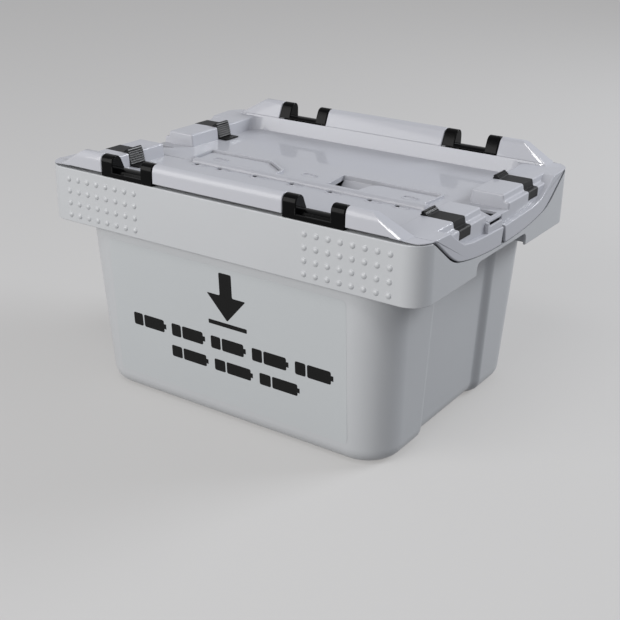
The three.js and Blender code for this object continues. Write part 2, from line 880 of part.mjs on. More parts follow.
function backFlapSolid() {
  const edge = railFoot[0] + wall;
  const plan = [
    [-tongueOuter, edge],
    [tongueOuter, edge],
    [tongueOuter, splitBack],
    [ridgeRight + overlap, splitBack],
    [ridgeRight + overlap, edgeBehindRidge],
    [ridgeLeft - overlap, edgeBehindRidge],
    [ridgeLeft - overlap, splitBack],
    [-tongueOuter, splitBack],
  ];
  const rims = [rimLeftShares, rimRightShares].map(
    (shares) => alongZ(pocketField(shares), lidUnderside, rimTop),
  );
  const endHole = spread(
    endHoleShares,
    [halfLength - endHoleInset, endHoleLow],
    [endHoleLength, endHoleWidth],
  );
  const holes = sideSigns.map((end) => alongZ(turned(endHole, end), lidUnderside - overlap, highReach));
  const pockets = [pocketLeftShares, pocketRightShares].map(
    (shares) => alongZ(pocketField(shares), 0, highReach),
  );
  const leaves = [pocketLeftShares, pocketRightShares].map(pocketLeaf);
  return cut(join([fitLid(lidShell(1, plan, rims), 1), ...leaves]), [...pockets, ...holes]);
}

// Hinge bracket: two lobes on a bridge, trunnions outside, snap legs below
function bracketSolid(side, end) {
  const middle = end * hingeX;
  const lobe = [
    [halfWidth, bracketSeat],
    ...railOutline().slice(1, -1),
    [lobeInner, lobeUnderside],
    [bracketInner, lobeUnderside],
    [bracketInner, bracketSeat],
  ];
  const bridge = [
    [halfWidth, bracketSeat],
    [halfWidth, bridgeFront],
    [bridgeLip, bridgeFront],
    [bridgeGrooveOuter, bridgeGroove],
    [bridgeGrooveInner, bridgeGroove],
    [bridgeBarOuter, bridgeBack],
    [bracketInner, bridgeBack],
    [bracketInner, bracketSeat],
  ];
  const pieces = [alongX(turned(bridge, side), middle - bracketHalf, middle + bracketHalf)];
  for (const sign of sideSigns) {
    const [start, stop] = turnedRange(bracketHalf - lobeWidth, bracketHalf, sign);
    pieces.push(alongX(turned(lobe, side), middle + start, middle + stop));
    const [inner, outer] = turnedRange(bracketHalf - lobeWidth, bracketHalf + trunnionLength, sign);
    pieces.push(roundBar(trunnionRadius, middle + inner, middle + outer, side * hingeY, hingeZ, roundSides));
    const leg = middle + sign * legX;
    pieces.push(block(leg - legHalf, leg + legHalf, side * legInner, side * legOuter,
      legBottom, bracketSeat + overlap));
    pieces.push(block(leg - barbHalf, leg + barbHalf, side * legInner, side * legOuter,
      barbBottom, barbTop));
  }
  return join(pieces);
}

// Anti-slip strip: toe on the lid floor, bead, flat top and two steps down the end
function stripSolid(side, end) {
  const inset = stripSeat - stripGap;
  const under = padProfile(inset).reverse();
  const outline = [
    [stripToeX, lidFloor + stripGap],
    [stripToeX, stripToeTop],
    [stripHeelX, stripToeTop],
    ...beadPoints,
    padTopOuter,
    padStep,
    stepOuter,
    [stepFace, stepOuter[1] - overlap],
    [stepFace, stripLowEnd],
    [stepFace - stripThickness, stripLowEnd],
    ...under.slice(0, -1),
    [padFoot[0] + inset, lidFloor + stripGap],
  ];
  return alongY(turned(outline, end), ...sideRange(stripInner, stripOuter, side));
}

// Materials and scene
function plastic(color, roughness) {
  return new THREE.MeshStandardMaterial({ color, roughness, metalness: 0 });
}

function place(group, name, body, material) {
  const data = body.getMesh();
  const geometry = new THREE.BufferGeometry();
  geometry.setAttribute('position', new THREE.BufferAttribute(new Float32Array(data.vertProperties), 3));
  geometry.setIndex(new THREE.BufferAttribute(new Uint32Array(data.triVerts), 1));
  geometry.computeVertexNormals();
  const mesh = new THREE.Mesh(geometry, material);
  mesh.name = name;
  group.add(mesh);
}

const group = new THREE.Group();
place(group, 'tub', tubSolid(), plastic(0xb9bcc0, 0.45));
place(group, 'front_flap', frontFlapSolid(), plastic(0xb7b9c2, 0.35));
place(group, 'back_flap', backFlapSolid(), plastic(0xb6b8c2, 0.35));
for (const [sideName, side] of [['front', -1], ['back', 1]]) {
  for (const [endName, end] of [['left', -1], ['right', 1]]) {
    place(group, `hinge_${sideName}_${endName}`, bracketSolid(side, end), plastic(0x121214, 0.25));
    place(group, `strip_${sideName}_${endName}`, stripSolid(side, end), plastic(0x1a1a1c, 0.6));
  }
}

export default group;
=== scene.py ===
"""Battery collection box: the visible model.

Shapes are written in millimetres in the frame of the solids: origin at the centre of the
underside, X along the box, the front long side facing -Y, Z up. Outlines of lid parts give
the distance from the middle plane, so that one outline serves the front and the back half.
"""

import math

import bmesh
import bpy
from mathutils import Euler, Matrix, Vector


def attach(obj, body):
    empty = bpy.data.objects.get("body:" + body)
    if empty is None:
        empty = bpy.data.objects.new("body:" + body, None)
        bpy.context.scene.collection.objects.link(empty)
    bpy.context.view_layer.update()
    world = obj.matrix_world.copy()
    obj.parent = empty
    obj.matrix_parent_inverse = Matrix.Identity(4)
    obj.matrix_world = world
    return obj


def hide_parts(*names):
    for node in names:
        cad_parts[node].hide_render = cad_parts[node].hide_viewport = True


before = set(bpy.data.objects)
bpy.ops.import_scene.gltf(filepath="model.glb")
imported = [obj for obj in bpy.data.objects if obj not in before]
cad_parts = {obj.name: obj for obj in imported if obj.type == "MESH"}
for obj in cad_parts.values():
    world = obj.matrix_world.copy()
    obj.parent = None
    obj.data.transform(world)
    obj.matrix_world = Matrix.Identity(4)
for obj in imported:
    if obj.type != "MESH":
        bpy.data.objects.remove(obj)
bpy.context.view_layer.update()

MM = 0.001
SIDES = {"front": -1, "back": 1}
ENDS = {"left": -1, "right": 1}
REACH = 30.0
OVERLAP = 1.0

# Whole box
HALF_LENGTH = 205.5
HALF_WIDTH = 150.0
RIM_HEIGHT = 223.2
RAIL_HEIGHT = 243.4
WALL = 2.5

# Tub body
FOOT_HALF_LENGTH = 166.8
FOOT_HALF_WIDTH = 132.8
THROAT_HALF_LENGTH = 173.5
THROAT_HALF_WIDTH = 143.5
THROAT_HEIGHT = 172.0
BODY_CORNER = 37.0
RIM_CORNER = 28.0
RIM_CORNER_HEIGHT = 178.0
FOOT_EDGE = 16.0
RECESS_DEPTH = 5.3
RECESS_HALF_WIDTH = 49.5
RECESS_SHOULDER = 62.5

# Collar
COLLAR_BOTTOM = 170.4
COLLAR_CORNER = 20.0
FLANGE = 3.0
RIB_THICKNESS = 2.0
RIB_BOTTOM = 172.0
LONG_RIBS = (-150.0, -50.0, 0.0, 50.0, 150.0)
END_RIBS = (-118.0, -78.0, -54.0, 54.0, 78.0, 118.0)
GRIP_HALF_WIDTH = 51.0
GRIP_TOP = 182.7
GRIP_BOTTOM = 160.0
GRIP_CORNER = 7.0
DIP = ((0, 185.7), (50, 185.7), (86, 193.3), (97, 195.6), (108, 203.7), (134.5, 223.2))

# Dots pressed into the collar
DOT_PITCH = 11.7
DOT_RADIUS = 3.0
DOT_HEIGHT = 1.4
DOT_FIRST_COLUMN = 94.0
DOT_COLUMNS = 8
DOT_TOP_ROW = 213.0
DOT_ROWS = 4

# Lid halves
LID_FLOOR = 212.0
LID_THICKNESS = 2.5
LID_UNDER = LID_FLOOR - LID_THICKNESS
RAIL_BOTTOM = 226.3
RAIL_SHOULDER = 235.5
RAIL_CREST = (143.6, 140.2)
RAIL_BROW = (137.6, 240.0)
RAIL_CREASE = (131.7, 226.8)
RAIL_FOOT = (126.2, LID_FLOOR)
BEVEL_TOP_X = 156.5
BEVEL_TOE = (187.0, 225.0)
BEVEL_OUTER_X = 210.0
CORNER_PLATE_X = (174.0, 190.0)
CORNER_PLATE_LOW = 223.9
CORNER_PLATE_STEP = 0.2
SWING_LIMIT = 11.1
# Each facet: Y at the toe, Y at the top, inner or outer edge, depth, and the shares of the
# slope's normal and of the way across it
FACET_EDGES = ((130.9, 137.6, -1, 0.72, 0.60, 0.80), (150.0, 150.0, 1, 0.9, 0.70, 0.71))
FACET_START = 3.8
FACET_REACH = 42.0
FACET_SPAN = 8.0
PAD = ((161.5, 212.0), (163.5, 225.0), (194.4, 225.0), (195.4, 218.6), (200.0, 218.6))
STEP_FACE = 200.7
PAD_EDGE = {"front": 28.7, "back": 16.5}
LEDGE = ((1.3, 202.3), (37.5, 203.3), (60, 204.3), (78.5, 207.1), (93, 215.4), (106, 224.2))
LEDGE_END = (131.0, 225.0)
LIP = ((4, 186.1), (50, 186.1), (84, 193.6), (92.6, 195.5), (108, 206.8), (134.5, 226.3))
LIP_CORNER_X = 162.0
LIP_LIMIT_X = 166.0
LIP_LIMIT_Y = 128.9
NOTCH = ((1.3, 202.3), (2.7, 209.0), (3.4, 212.0))
FRONT_LIP_TOP = 208.7
FRONT_LIP_X = (201.4, 203.9)
TONGUE_OUTER = 200.2

# Meeting line of the halves
SPLIT_FRONT = -25.6
SPLIT_BACK = -24.4
RIDGE_X = (-125.0, 141.0)
RIDGE_Y = (-30.0, -20.5)
RIDGE_TOP = 216.0
EDGE_BEHIND_RIDGE = -18.6
TOOTH_LEFT = ((-129, -24), (-132.4, 13), (-61, 14.5), (-32.2, -6.2), (-32.2, -24))
POCKET_LEFT = ((-130, -40), (-133.6, 14.2), (-60.6, 15.8), (-31, -5.6), (-31, -40))
RIM_LEFT = ((-132.5, -18.6), (-136.2, 16.8), (-59.8, 18.4), (-28.4, -4.2), (-28.4, -18.6))
TOOTH_RIGHT = ((60.8, -24), (60.8, -8), (63, 8.6), (71, 14.5), (133.2, 14.3), (131, -24))
POCKET_RIGHT = ((32, -40), (31, -9), (27.5, 15.8), (134.4, 15.6), (132.2, -40))
RIM_RIGHT = ((28.9, -18.6), (28.4, -9.3), (24.6, 18.4), (137, 18.2), (134.8, -18.6))
RIM_TOP = 214.6
LEAF_DROP = 13.0
LEAF_LEAN = 6.0
SCOOP_X = (28.5, 59.5)
SCOOP_FOOT = (3.0, 200.0)
END_HOLE = ((175.3, 3.2), (195.5, 4.2), (195.5, -9.6))
PEEPS = (-115.6, -86.7, -43.5, 0.0, 43.5, 86.7, 115.6)
PEEP_Y = -34.0
PEEP_HALF = (1.9, 3.0)
PEEP_RECESS = 0.4
PEEP_RIM = (1.2, 0.5)
PEEP_SHIFT = 0.5
PEEP_SKIN = 0.4
PEEP_SIDES = 16
BLIND_PEEPS_FRONT = ((-111.4, -5.0), (108.5, -5.0))
BLIND_PEEPS_BACK = ((-7.3, 1.8),)

# Hinges
HINGE_Y = 142.5
HINGE_Z = 234.5
HINGE_X = 102.0
BRACKET_HALF = 30.5
LOBE_WIDTH = 13.5
BRACKET_SEAT = 223.5
BRACKET_INNER = 141.0
LOBE_UNDER = 227.3
LOBE_INNER = 132.4
LOBE_FACE = (133.3, 230.4)
BRIDGE_TOP = (
    (150.0, 228.0), (148.2, 228.0), (147.2, 226.5), (145.0, 226.5), (143.4, 229.3),
    (140.6, 230.6), (136.4, 230.8), (133.6, 229.6),
)
TRUNNION_RADIUS = 2.9
TRUNNION_LENGTH = 2.7
BEARING_RADIUS = 3.2
HINGE_GAP = 0.5
WEB = 3.0
HINGE_CLEAR = 13.7
LEG_X = 23.7
LEG_HALF = 3.6
LEG_Y = (144.1, 146.7)
LEG_BOTTOM = 213.0
BARB_HALF = 5.2
BARB_Z = (216.5, 219.9)
SLOT_GAP = 0.4

# Anti-slip strips
STRIP_Y = (59.5, 80.2)
STRIP_SEAT = 1.7
STRIP_GAP = 0.3
STRIP_TOE_X = 150.5
STRIP_TOE_TOP = 213.5
STRIP_LOW_END = 209.9
STRIP_FOOT = (160.9, STRIP_TOE_TOP)
STRIP_HEAD = (164.4, 226.6)
STRIP_RIBS = 6
# One rib of the strip's climbing face: share of its step, and depth below the face
RIB_PROFILE = ((0.05, -0.5), (0.2, 0.6), (0.5, 0.6), (0.68, 0.48), (0.8, -0.5))
STRIP_NOSE = (
    (164.2, 227.6), (164.7, 228.4), (165.6, 228.9), (166.7, 228.9), (167.0, 228.5),
    (167.4, 227.7), (168.4, 227.7), (168.7, 227.3), (169.0, 226.4), (169.9, 226.4),
    (170.3, 225.0),
)
STRIP_POLISH_X = 170.0

# Label film and prints on the front wall, as (x, z)
LABEL = ((-135, 20), (132, 20), (132, 160), (-135, 160))
LABEL_PROUD = 0.12
PRINT_PROUD = 0.2
# Rows of cells: how many, first x, pitch, z, length and height
CELL_ROWS = ((5, -112, 47.5, 82, 38, 13), (3, -66, 52, 59, 42, 12))
CELL_GAP = 1.6
ARROW = (4, 101, 54, 44)

# Stage and camera
FLOOR_HALF = 4000
FLOOR_DROP = 0.05
CAMERA_LENS = 63.692
CAMERA_PLACE = (0.573284, -0.858711, 0.50453)
CAMERA_TURN = (67.222992, -0.970937, 34.071138)

# Fillets on the edges of each kind of part, and the cove in the lid's inner corners
EDGE = {
    "collar": 1.0, "rail": 1.2, "pad": 1.8, "band": 1.1, "rim": 0.45, "ridge": 0.9, "lobe": 1.0,
    "small": 0.5, "plate": 0.35, "strip": 0.3,
}
COVE = 13.0


# Mesh tools

def make_object(name, bm):
    """A new object from a bmesh written in millimetres."""
    bmesh.ops.scale(bm, vec=(MM, MM, MM), verts=bm.verts)
    bmesh.ops.recalc_face_normals(bm, faces=bm.faces)
    mesh = bpy.data.meshes.new(name)
    bm.to_mesh(mesh)
    bm.free()
    obj = bpy.data.objects.new(name, mesh)
    bpy.context.scene.collection.objects.link(obj)
    return obj


def bar(outline, start, end, axis):
    """A straight bar: axis X takes (y, z) points, Y takes (x, z) and Z takes (x, y)."""
    order = {
        "X": lambda a, b, along: (along, a, b),
        "Y": lambda a, b, along: (a, along, b),
        "Z": lambda a, b, along: (a, b, along),
    }[axis]
    bm = bmesh.new()
    rings = [[bm.verts.new(order(a, b, along)) for a, b in outline] for along in (start, end)]
    for ring in rings:
        bm.faces.new(ring)
    for i in range(len(outline)):
        j = (i + 1) % len(outline)
        bm.faces.new((rings[0][i], rings[0][j], rings[1][j], rings[1][i]))
    return make_object("bar", bm)


def loft(levels):
    """A closed body through plans of equal point count at rising heights."""
    bm = bmesh.new()
    rings = [[bm.verts.new((x, y, z)) for x, y in plan] for plan, z in levels]
    for low, high in zip(rings, rings[1:]):
        for i in range(len(low)):
            j = (i + 1) % len(low)
            bm.faces.new((low[i], low[j], high[j], high[i]))
    bm.faces.new(rings[0])
    bm.faces.new(rings[-1])
    return make_object("loft", bm)


def rod(radius, x0, x1, y, z, sides=40):
    """A round rod along X."""
    ring = [
        (y + radius * math.cos(i / sides * math.tau), z + radius * math.sin(i / sides * math.tau))
        for i in range(sides)
    ]
    return bar(ring, x0, x1, "X")


def block(x0, x1, y0, y1, z0, z1):
    return bar([(x0, y0), (x1, y0), (x1, y1), (x0, y1)], z0, z1, "Z")


def work(body, joins=(), cuts=(), keeps=()):
    """Joins, then limits, then cuts the body with other solids, which are used up."""
    steps = [("UNION", other) for other in joins]
    steps += [("INTERSECT", other) for other in keeps]
    steps += [("DIFFERENCE", other) for other in cuts]
    for kind, other in steps:
        tool = body.modifiers.new(kind.lower(), "BOOLEAN")
        tool.operation = kind
        tool.solver = "MANIFOLD"
        tool.object = other
    graph = bpy.context.evaluated_depsgraph_get()
    mesh = bpy.data.meshes.new_from_object(body.evaluated_get(graph))
    body.modifiers.clear()
    body.data = mesh
    for _, other in steps:
        bpy.data.objects.remove(other)
    return body


def tidy(obj, angle=0.4):
    """Merges the flat triangles that the cuts leave."""
    bm = bmesh.new()
    bm.from_mesh(obj.data)
    bmesh.ops.remove_doubles(bm, verts=bm.verts, dist=0.01 * MM)
    bmesh.ops.dissolve_limit(
        bm, angle_limit=math.radians(angle), verts=bm.verts, edges=bm.edges
    )
    bm.to_mesh(obj.data)
    bm.free()
    return obj


def soften(obj, width, segments=3, angle=28, low=None, low_share=0.3):
    """Rounds the sharp edges of a plain solid, less so those below a height."""
    bm = bmesh.new()
    bm.from_mesh(obj.data)
    weight = bm.edges.layers.float.new("bevel_weight_edge")
    for edge in bm.edges:
        if edge.calc_face_angle(0) > math.radians(angle):
            below = low is not None and all(vert.co.z < low * MM for vert in edge.verts)
            edge[weight] = low_share if below else 1
    bm.to_mesh(obj.data)
    bm.free()
    fillet = obj.modifiers.new("fillet", "BEVEL")
    fillet.limit_method = "WEIGHT"
    fillet.width = width * MM
    fillet.segments = segments
    fillet.use_clamp_overlap = False
    fillet.miter_outer = "MITER_ARC"
    return work(obj)


def shade(obj, angle=38):
    obj.data.shade_smooth()
    obj.data.set_sharp_from_angle(angle=math.radians(angle))
    return obj


def finish_shading(obj, angle=33):
    """Smooth fillets beside flat faces."""
    shade(obj, angle)
    even = obj.modifiers.new("even_shading", "WEIGHTED_NORMAL")
    even.keep_sharp = True
    return obj


def piece(obj, name, body, slot, material, *nodes):
    """Names a finished piece and ties it to its body and the solids it stands for; the slot is not
    used.
    """
    obj.name = name
    obj.data.name = name
    obj.data.materials.clear()
    obj.data.materials.append(material)
    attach(obj, body)
    if nodes:
        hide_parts(*nodes)
    return obj


# Outlines

def curve(start, bend, end, steps):
    """Points of a quadratic curve, without its first one."""
    points = []
    for step in range(1, steps + 1):
        t = step / steps
        points.append(tuple(
            (1 - t) ** 2 * a + 2 * t * (1 - t) * b + t * t * c
            for a, b, c in zip(start, bend, end)
        ))
    return points


def corner_arc(x, y, radius, start, steps=10):
    return [
        (x + radius * math.cos(start + i / steps * math.pi / 2),
         y + radius * math.sin(start + i / steps * math.pi / 2))
        for i in range(steps + 1)
    ]


def rounded_plan(half_x, half_y, radius):
    x, y = half_x - radius, half_y - radius
    return (
        corner_arc(x, -y, radius, -math.pi / 2) + corner_arc(x, y, radius, 0)
        + corner_arc(-x, y, radius, math.pi / 2) + corner_arc(-x, -y, radius, math.pi)
    )


def body_plan(half_x, half_y, radius, steps=10):
    """Plan of the tub with the shallow recess that sweeps down both short sides."""
    half = corner_arc(half_x - radius, radius - half_y, radius, -math.pi / 2)
    for sign in (-1, 1):
        sweep = []
        for step in range(steps + 1):
            share = step / steps
            y = RECESS_HALF_WIDTH + share * (RECESS_SHOULDER - RECESS_HALF_WIDTH)
            depth = RECESS_DEPTH * (1 + math.cos(share * math.pi)) / 2
            sweep.append((half_x - depth, sign * y))
        half += sweep[::-1] if sign < 0 else sweep
    half += corner_arc(half_x - radius, half_y - radius, radius, 0)
    return half + [(-x, -y) for x, y in half]


def swept(line, steps=10):
    """Half of a dip line: two curves and a straight rise, from six named points."""
    start, bend, flank, elbow, rise, top = line
    return [start] + curve(start, bend, flank, steps) + curve(flank, elbow, rise, steps) + [top]


def mirrored(points, sign):
    return [(sign * a, b) for a, b in points]


def lowered(points, drop):
    return [(a, b - drop) for a, b in points]


def span(near, far, sign):
    return (near, far) if sign > 0 else (-far, -near)


def rounded_outline(points, radius, steps=4, ends=True):
    """An outline whose corners are eased, with or without its first and last point."""
    eased = []
    count = len(points)
    for i in range(count):
        if not ends and i in (0, count - 1):
            eased.append(points[i])
            continue
        here = Vector(points[i])
        before = Vector(points[i - 1]) - here
        after = Vector(points[(i + 1) % count]) - here
        reach = min(radius, before.length * 0.45, after.length * 0.45)
        start = here + before.normalized() * reach
        end = here + after.normalized() * reach
        eased.append(tuple(start))
        eased += curve(start, here, end, steps)
    return eased


# Tub

def body_solid(inset, top):
    levels = []
    edge = FOOT_EDGE - inset
    for step in range(7):
        angle = step / 6 * math.pi / 2
        back = inset + edge * (1 - math.sin(angle))
        plan = body_plan(FOOT_HALF_LENGTH - back, FOOT_HALF_WIDTH - back, BODY_CORNER - back)
        levels.append((plan, inset + edge * (1 - math.cos(angle))))
    throat = (THROAT_HALF_LENGTH - inset, THROAT_HALF_WIDTH - inset)
    levels.append((body_plan(*throat, BODY_CORNER - inset), THROAT_HEIGHT))
    levels.append((body_plan(*throat, RIM_CORNER - inset), RIM_CORNER_HEIGHT))
    levels.append((body_plan(*throat, RIM_CORNER - inset), top))
    return loft(levels)


def dip_line(drop=0.0):
    half = lowered(swept(DIP), drop)
    return mirrored(half[1:], -1)[::-1] + half


def collar_solid():
    plan = rounded_plan(HALF_LENGTH, HALF_WIDTH, COLLAR_CORNER)
    return soften(bar(plan, COLLAR_BOTTOM, RIM_HEIGHT, "Z"), EDGE["collar"])


def collar_hollow():
    plan = rounded_plan(HALF_LENGTH - WALL, HALF_WIDTH - WALL, COLLAR_CORNER - WALL)
    low = COLLAR_BOTTOM - REACH
    top = RIM_HEIGHT - FLANGE
    room = bar(plan, low, top, "Z")
    under = [(-HALF_WIDTH, low - OVERLAP), (HALF_WIDTH, low - OVERLAP), (HALF_WIDTH, top)]
    under += dip_line(FLANGE)[::-1] + [(-HALF_WIDTH, top)]
    limit = bar(under, -HALF_LENGTH, HALF_LENGTH, "X")
    return work(room, keeps=[limit], cuts=[body_solid(0, RIM_HEIGHT + OVERLAP)])


def collar_ribs():
    half = RIB_THICKNESS / 2
    ribs = []
    for sign in (-1, 1):
        for x in LONG_RIBS:
            inner, outer = sign * (THROAT_HALF_WIDTH - OVERLAP), sign * (HALF_WIDTH - OVERLAP)
            ribs.append(block(x - half, x + half, inner, outer, RIB_BOTTOM, RIM_HEIGHT))
        for y in END_RIBS:
            inner, outer = sign * (THROAT_HALF_LENGTH - OVERLAP), sign * (HALF_LENGTH - OVERLAP)
            ribs.append(block(inner, outer, y - half, y + half, RIB_BOTTOM, RIM_HEIGHT))
    return ribs


def grip_cuts():
    side = GRIP_HALF_WIDTH
    start, end = (side, GRIP_TOP - GRIP_CORNER), (side - GRIP_CORNER, GRIP_TOP)
    corner = [start] + curve(start, (side, GRIP_TOP), end, 6)
    outline = [(-side, GRIP_BOTTOM), (side, GRIP_BOTTOM)] + corner + mirrored(corner, -1)[::-1]
    inner = HALF_LENGTH - WALL - OVERLAP
    return [bar(outline, *span(inner, HALF_LENGTH + REACH, sign), "X") for sign in (-1, 1)]


def leg_slots():
    slots = []
    half = LEG_HALF + SLOT_GAP
    low = RIM_HEIGHT - FLANGE - OVERLAP
    for side in (-1, 1):
        for end in (-1, 1):
            for leg in (-1, 1):
                x = end * HINGE_X + leg * LEG_X
                near, far = side * (LEG_Y[0] - SLOT_GAP), side * (LEG_Y[1] + SLOT_GAP)
                slots.append(block(x - half, x + half, near, far, low, RIM_HEIGHT + REACH))
    return slots


def build_tub(material):
    tub = work(body_solid(0, RIM_HEIGHT), joins=[collar_solid()])
    tub = work(tub, cuts=[collar_hollow()])
    tub = work(tub, joins=collar_ribs())
    wide = DIP[-1][0]
    above = dip_line() + [(wide, RIM_HEIGHT + REACH), (-wide, RIM_HEIGHT + REACH)]
    open_top = bar(above, -HALF_LENGTH - REACH, HALF_LENGTH + REACH, "X")
    inside = body_solid(WALL, RIM_HEIGHT + REACH)
    tub = work(tub, cuts=[open_top, inside] + grip_cuts() + leg_slots())
    finish_shading(tidy(tub))
    return piece(tub, "tub_shell", "box", "tub_plastic", material, "tub")


def build_dots(side_name, material):
    side = SIDES[side_name]
    rings, sides = 5, 16
    bm = bmesh.new()
    for end in (-1, 1):
        for column in range(DOT_COLUMNS):
            for row in range(DOT_ROWS):
                x = end * (DOT_FIRST_COLUMN + column * DOT_PITCH)
                z = DOT_TOP_ROW - row * DOT_PITCH
                previous = None
                for ring in range(rings):
                    share = 1 - ring / rings
                    radius = DOT_RADIUS * share
                    proud = DOT_HEIGHT * (1 - share ** 2.4)
                    y = side * (HALF_WIDTH + proud - (0.1 if ring == 0 else 0))
                    verts = [
                        bm.verts.new((x + radius * math.cos(i / sides * math.tau), y,
                                      z + radius * math.sin(i / sides * math.tau)))
                        for i in range(sides)
                    ]
                    if previous:
                        for i in range(sides):
                            j = (i + 1) % sides
                            bm.faces.new((previous[i], previous[j], verts[j], verts[i]))
                    else:
                        bm.faces.new(verts)
                    previous = verts
                tip = bm.verts.new((x, side * (HALF_WIDTH + DOT_HEIGHT), z))
                for i in range(sides):
                    bm.faces.new((previous[i], previous[(i + 1) % sides], tip))
    dots = shade(make_object("dots", bm), 60)
    return piece(dots, f"grip_dots_{side_name}", "box", "tub_plastic", material)


# Lid halves

def within_collar():
    """The collar's plan carried up: a limit for every part of the lid."""
    plan = rounded_plan(HALF_LENGTH, HALF_WIDTH, COLLAR_CORNER)
    return bar(plan, 0, RAIL_HEIGHT + REACH, "Z")


def rail_top(inset=0.0):
    """The rounded top of the rail, from its outer face to the crease above the lid floor."""
    outer = HALF_WIDTH - inset
    top = RAIL_HEIGHT - inset
    start, crest = (outer, RAIL_SHOULDER - inset), (RAIL_CREST[0], top)
    brow = (RAIL_BROW[0] + inset, RAIL_BROW[1] - inset)
    shoulder = curve(start, (outer, top), crest, 8)
    inner = curve(crest, (RAIL_CREST[1] + inset * 0.6, top), brow, 6)
    return [start] + shoulder + inner + [(RAIL_CREASE[0] + inset, RAIL_CREASE[1])]


def rail_outline():
    return [(HALF_WIDTH, RAIL_BOTTOM)] + rail_top() + [
        RAIL_FOOT,
        (RAIL_FOOT[0], LID_UNDER),
        (RAIL_FOOT[0] + WALL, LID_UNDER),
        (RAIL_CREASE[0] + WALL, RAIL_BOTTOM),
    ]


def rail_runs():
    """Where the rail stands between and beyond the hinge brackets, as X ranges."""
    half = BRACKET_HALF + HINGE_GAP
    return [
        (-HALF_LENGTH, -HINGE_X - half), (half - HINGE_X, HINGE_X - half),
        (HINGE_X + half, HALF_LENGTH),
    ]


def slope_facets(side, end):
    """Point, normal and direction of the flat facets along both edges of a rail-end slope."""
    toe_x, toe_z = BEVEL_TOE
    fall = (RAIL_HEIGHT - toe_z) / (toe_x - BEVEL_TOP_X)
    slope = Vector((end * fall, 0, 1)).normalized()
    high_z = RAIL_BROW[1]
    high_x = BEVEL_TOP_X + (RAIL_HEIGHT - high_z) / fall
    facets = []
    for toe_y, high_y, outward, depth, rise, spread in FACET_EDGES:
        low = Vector((end * toe_x, side * toe_y, toe_z))
        along = (Vector((end * high_x, side * high_y, high_z)) - low).normalized()
        across = along.cross(slope)
        if across.y * side * outward < 0:
            across.negate()
        normal = (slope * rise + across * spread).normalized()
        facets.append((low - normal * depth, normal, along))
    return facets


def slope_trims(side, end):
    """Tools that cut those facets."""
    tools = []
    for point, normal, along in slope_facets(side, end):
        turn = Matrix((along, normal.cross(along), normal)).transposed().to_4x4()
        middle = point + normal * REACH / 4 + along * (FACET_START + FACET_REACH / 2)
        place = Matrix.Translation(middle) @ turn
        bm = bmesh.new()
        size = Matrix.Diagonal((FACET_REACH, FACET_SPAN, REACH / 2, 1))
        bmesh.ops.create_cube(bm, size=1.0, matrix=place @ size)
        tools.append(make_object("trim", bm))
    return tools


def rail_solids(side):
    """The rail in three runs with rounded ends, its skirt and the low strip that ties them."""
    chunk = [(HALF_WIDTH, RAIL_BOTTOM)] + rail_top() + [(RAIL_CREASE[0], RAIL_BOTTOM)]
    skirt = [
        (RAIL_CREASE[0] + WALL, RAIL_BOTTOM + OVERLAP), (RAIL_CREASE[0] + 0.3, RAIL_BOTTOM),
        RAIL_FOOT, (RAIL_FOOT[0], LID_UNDER), (RAIL_FOOT[0] + WALL, LID_UNDER),
    ]
    solids = []
    for start, end in rail_runs():
        run = bar(mirrored(chunk, side), start, end, "X")
        run = work(run, keeps=[within_collar()])
        run = soften(run, EDGE["rail"], 4, low=RAIL_CREASE[1] + 0.3, low_share=0.6)
        if abs(start + end) > HALF_LENGTH:
            tip = 1 if start > 0 else -1
            run = work(run, cuts=bevel_cuts(0) + slope_trims(side, tip))
        solids.append(run)
        solids.append(bar(mirrored(skirt, side), start, end, "X"))
    tie = bar(mirrored(rail_outline(), side), -HALF_LENGTH + REACH, HALF_LENGTH - REACH, "X")
    room = rod(HINGE_CLEAR, -HALF_LENGTH, HALF_LENGTH, side * HINGE_Y, HINGE_Z)
    return solids + [work(tie, cuts=[room])]


def rail_hollows(side):
    outline = [(HALF_WIDTH - WALL, RAIL_BOTTOM - OVERLAP)] + rail_top(WALL)[:-1]
    outline.append((RAIL_CREASE[0] + WALL + STRIP_GAP, RAIL_BOTTOM - OVERLAP))
    return [bar(mirrored(outline, side), start + WEB, end - WEB, "X") for start, end in rail_runs()]


def pad_line(inset):
    (a, b), (c, d), (e, f), (g, h), (i, j) = PAD
    return [
        (a + inset, b), (c + inset, d - inset), (e - inset, f - inset),
        (g - inset, h - inset), (i - inset, j - inset), (STEP_FACE - inset, j - inset - OVERLAP),
    ]


def pad_solid(side_name, end):
    (a, _), (c, d), (e, f), (g, h), _ = PAD
    outline = [
        (a, LID_UNDER), (c, d), (e, f), (g, h), (STEP_FACE, h), (STEP_FACE, LID_UNDER),
    ]
    along = span(PAD_EDGE[side_name], LEDGE_END[0], SIDES[side_name])
    return soften(bar(mirrored(outline, end), *along, "Y"), EDGE["pad"], 4)


def corner_cove(side, end):
    """The rounded inner corner between the rail and a pad, leaning as they lean."""
    levels = []
    for share in (0.0, 1.0):
        z = LID_FLOOR + share * (PAD[1][1] - 0.6 - LID_FLOOR)
        wall_x = PAD[0][0] + share * (PAD[1][0] - PAD[0][0])
        slope = (RAIL_CREASE[0] - RAIL_FOOT[0]) / (RAIL_CREASE[1] - RAIL_FOOT[1])
        rail_y = RAIL_FOOT[0] + slope * (z - LID_FLOOR)
        arc = corner_arc(wall_x - COVE, rail_y - COVE, COVE, 0, 12)
        far_x, far_y = wall_x + OVERLAP, rail_y + OVERLAP
        outline = [(far_x, rail_y - COVE)] + arc + [(wall_x - COVE, far_y), (far_x, far_y)]
        levels.append(([(end * x, side * y) for x, y in outline], z))
    levels.insert(0, (levels[0][0], LID_UNDER))
    return loft(levels)


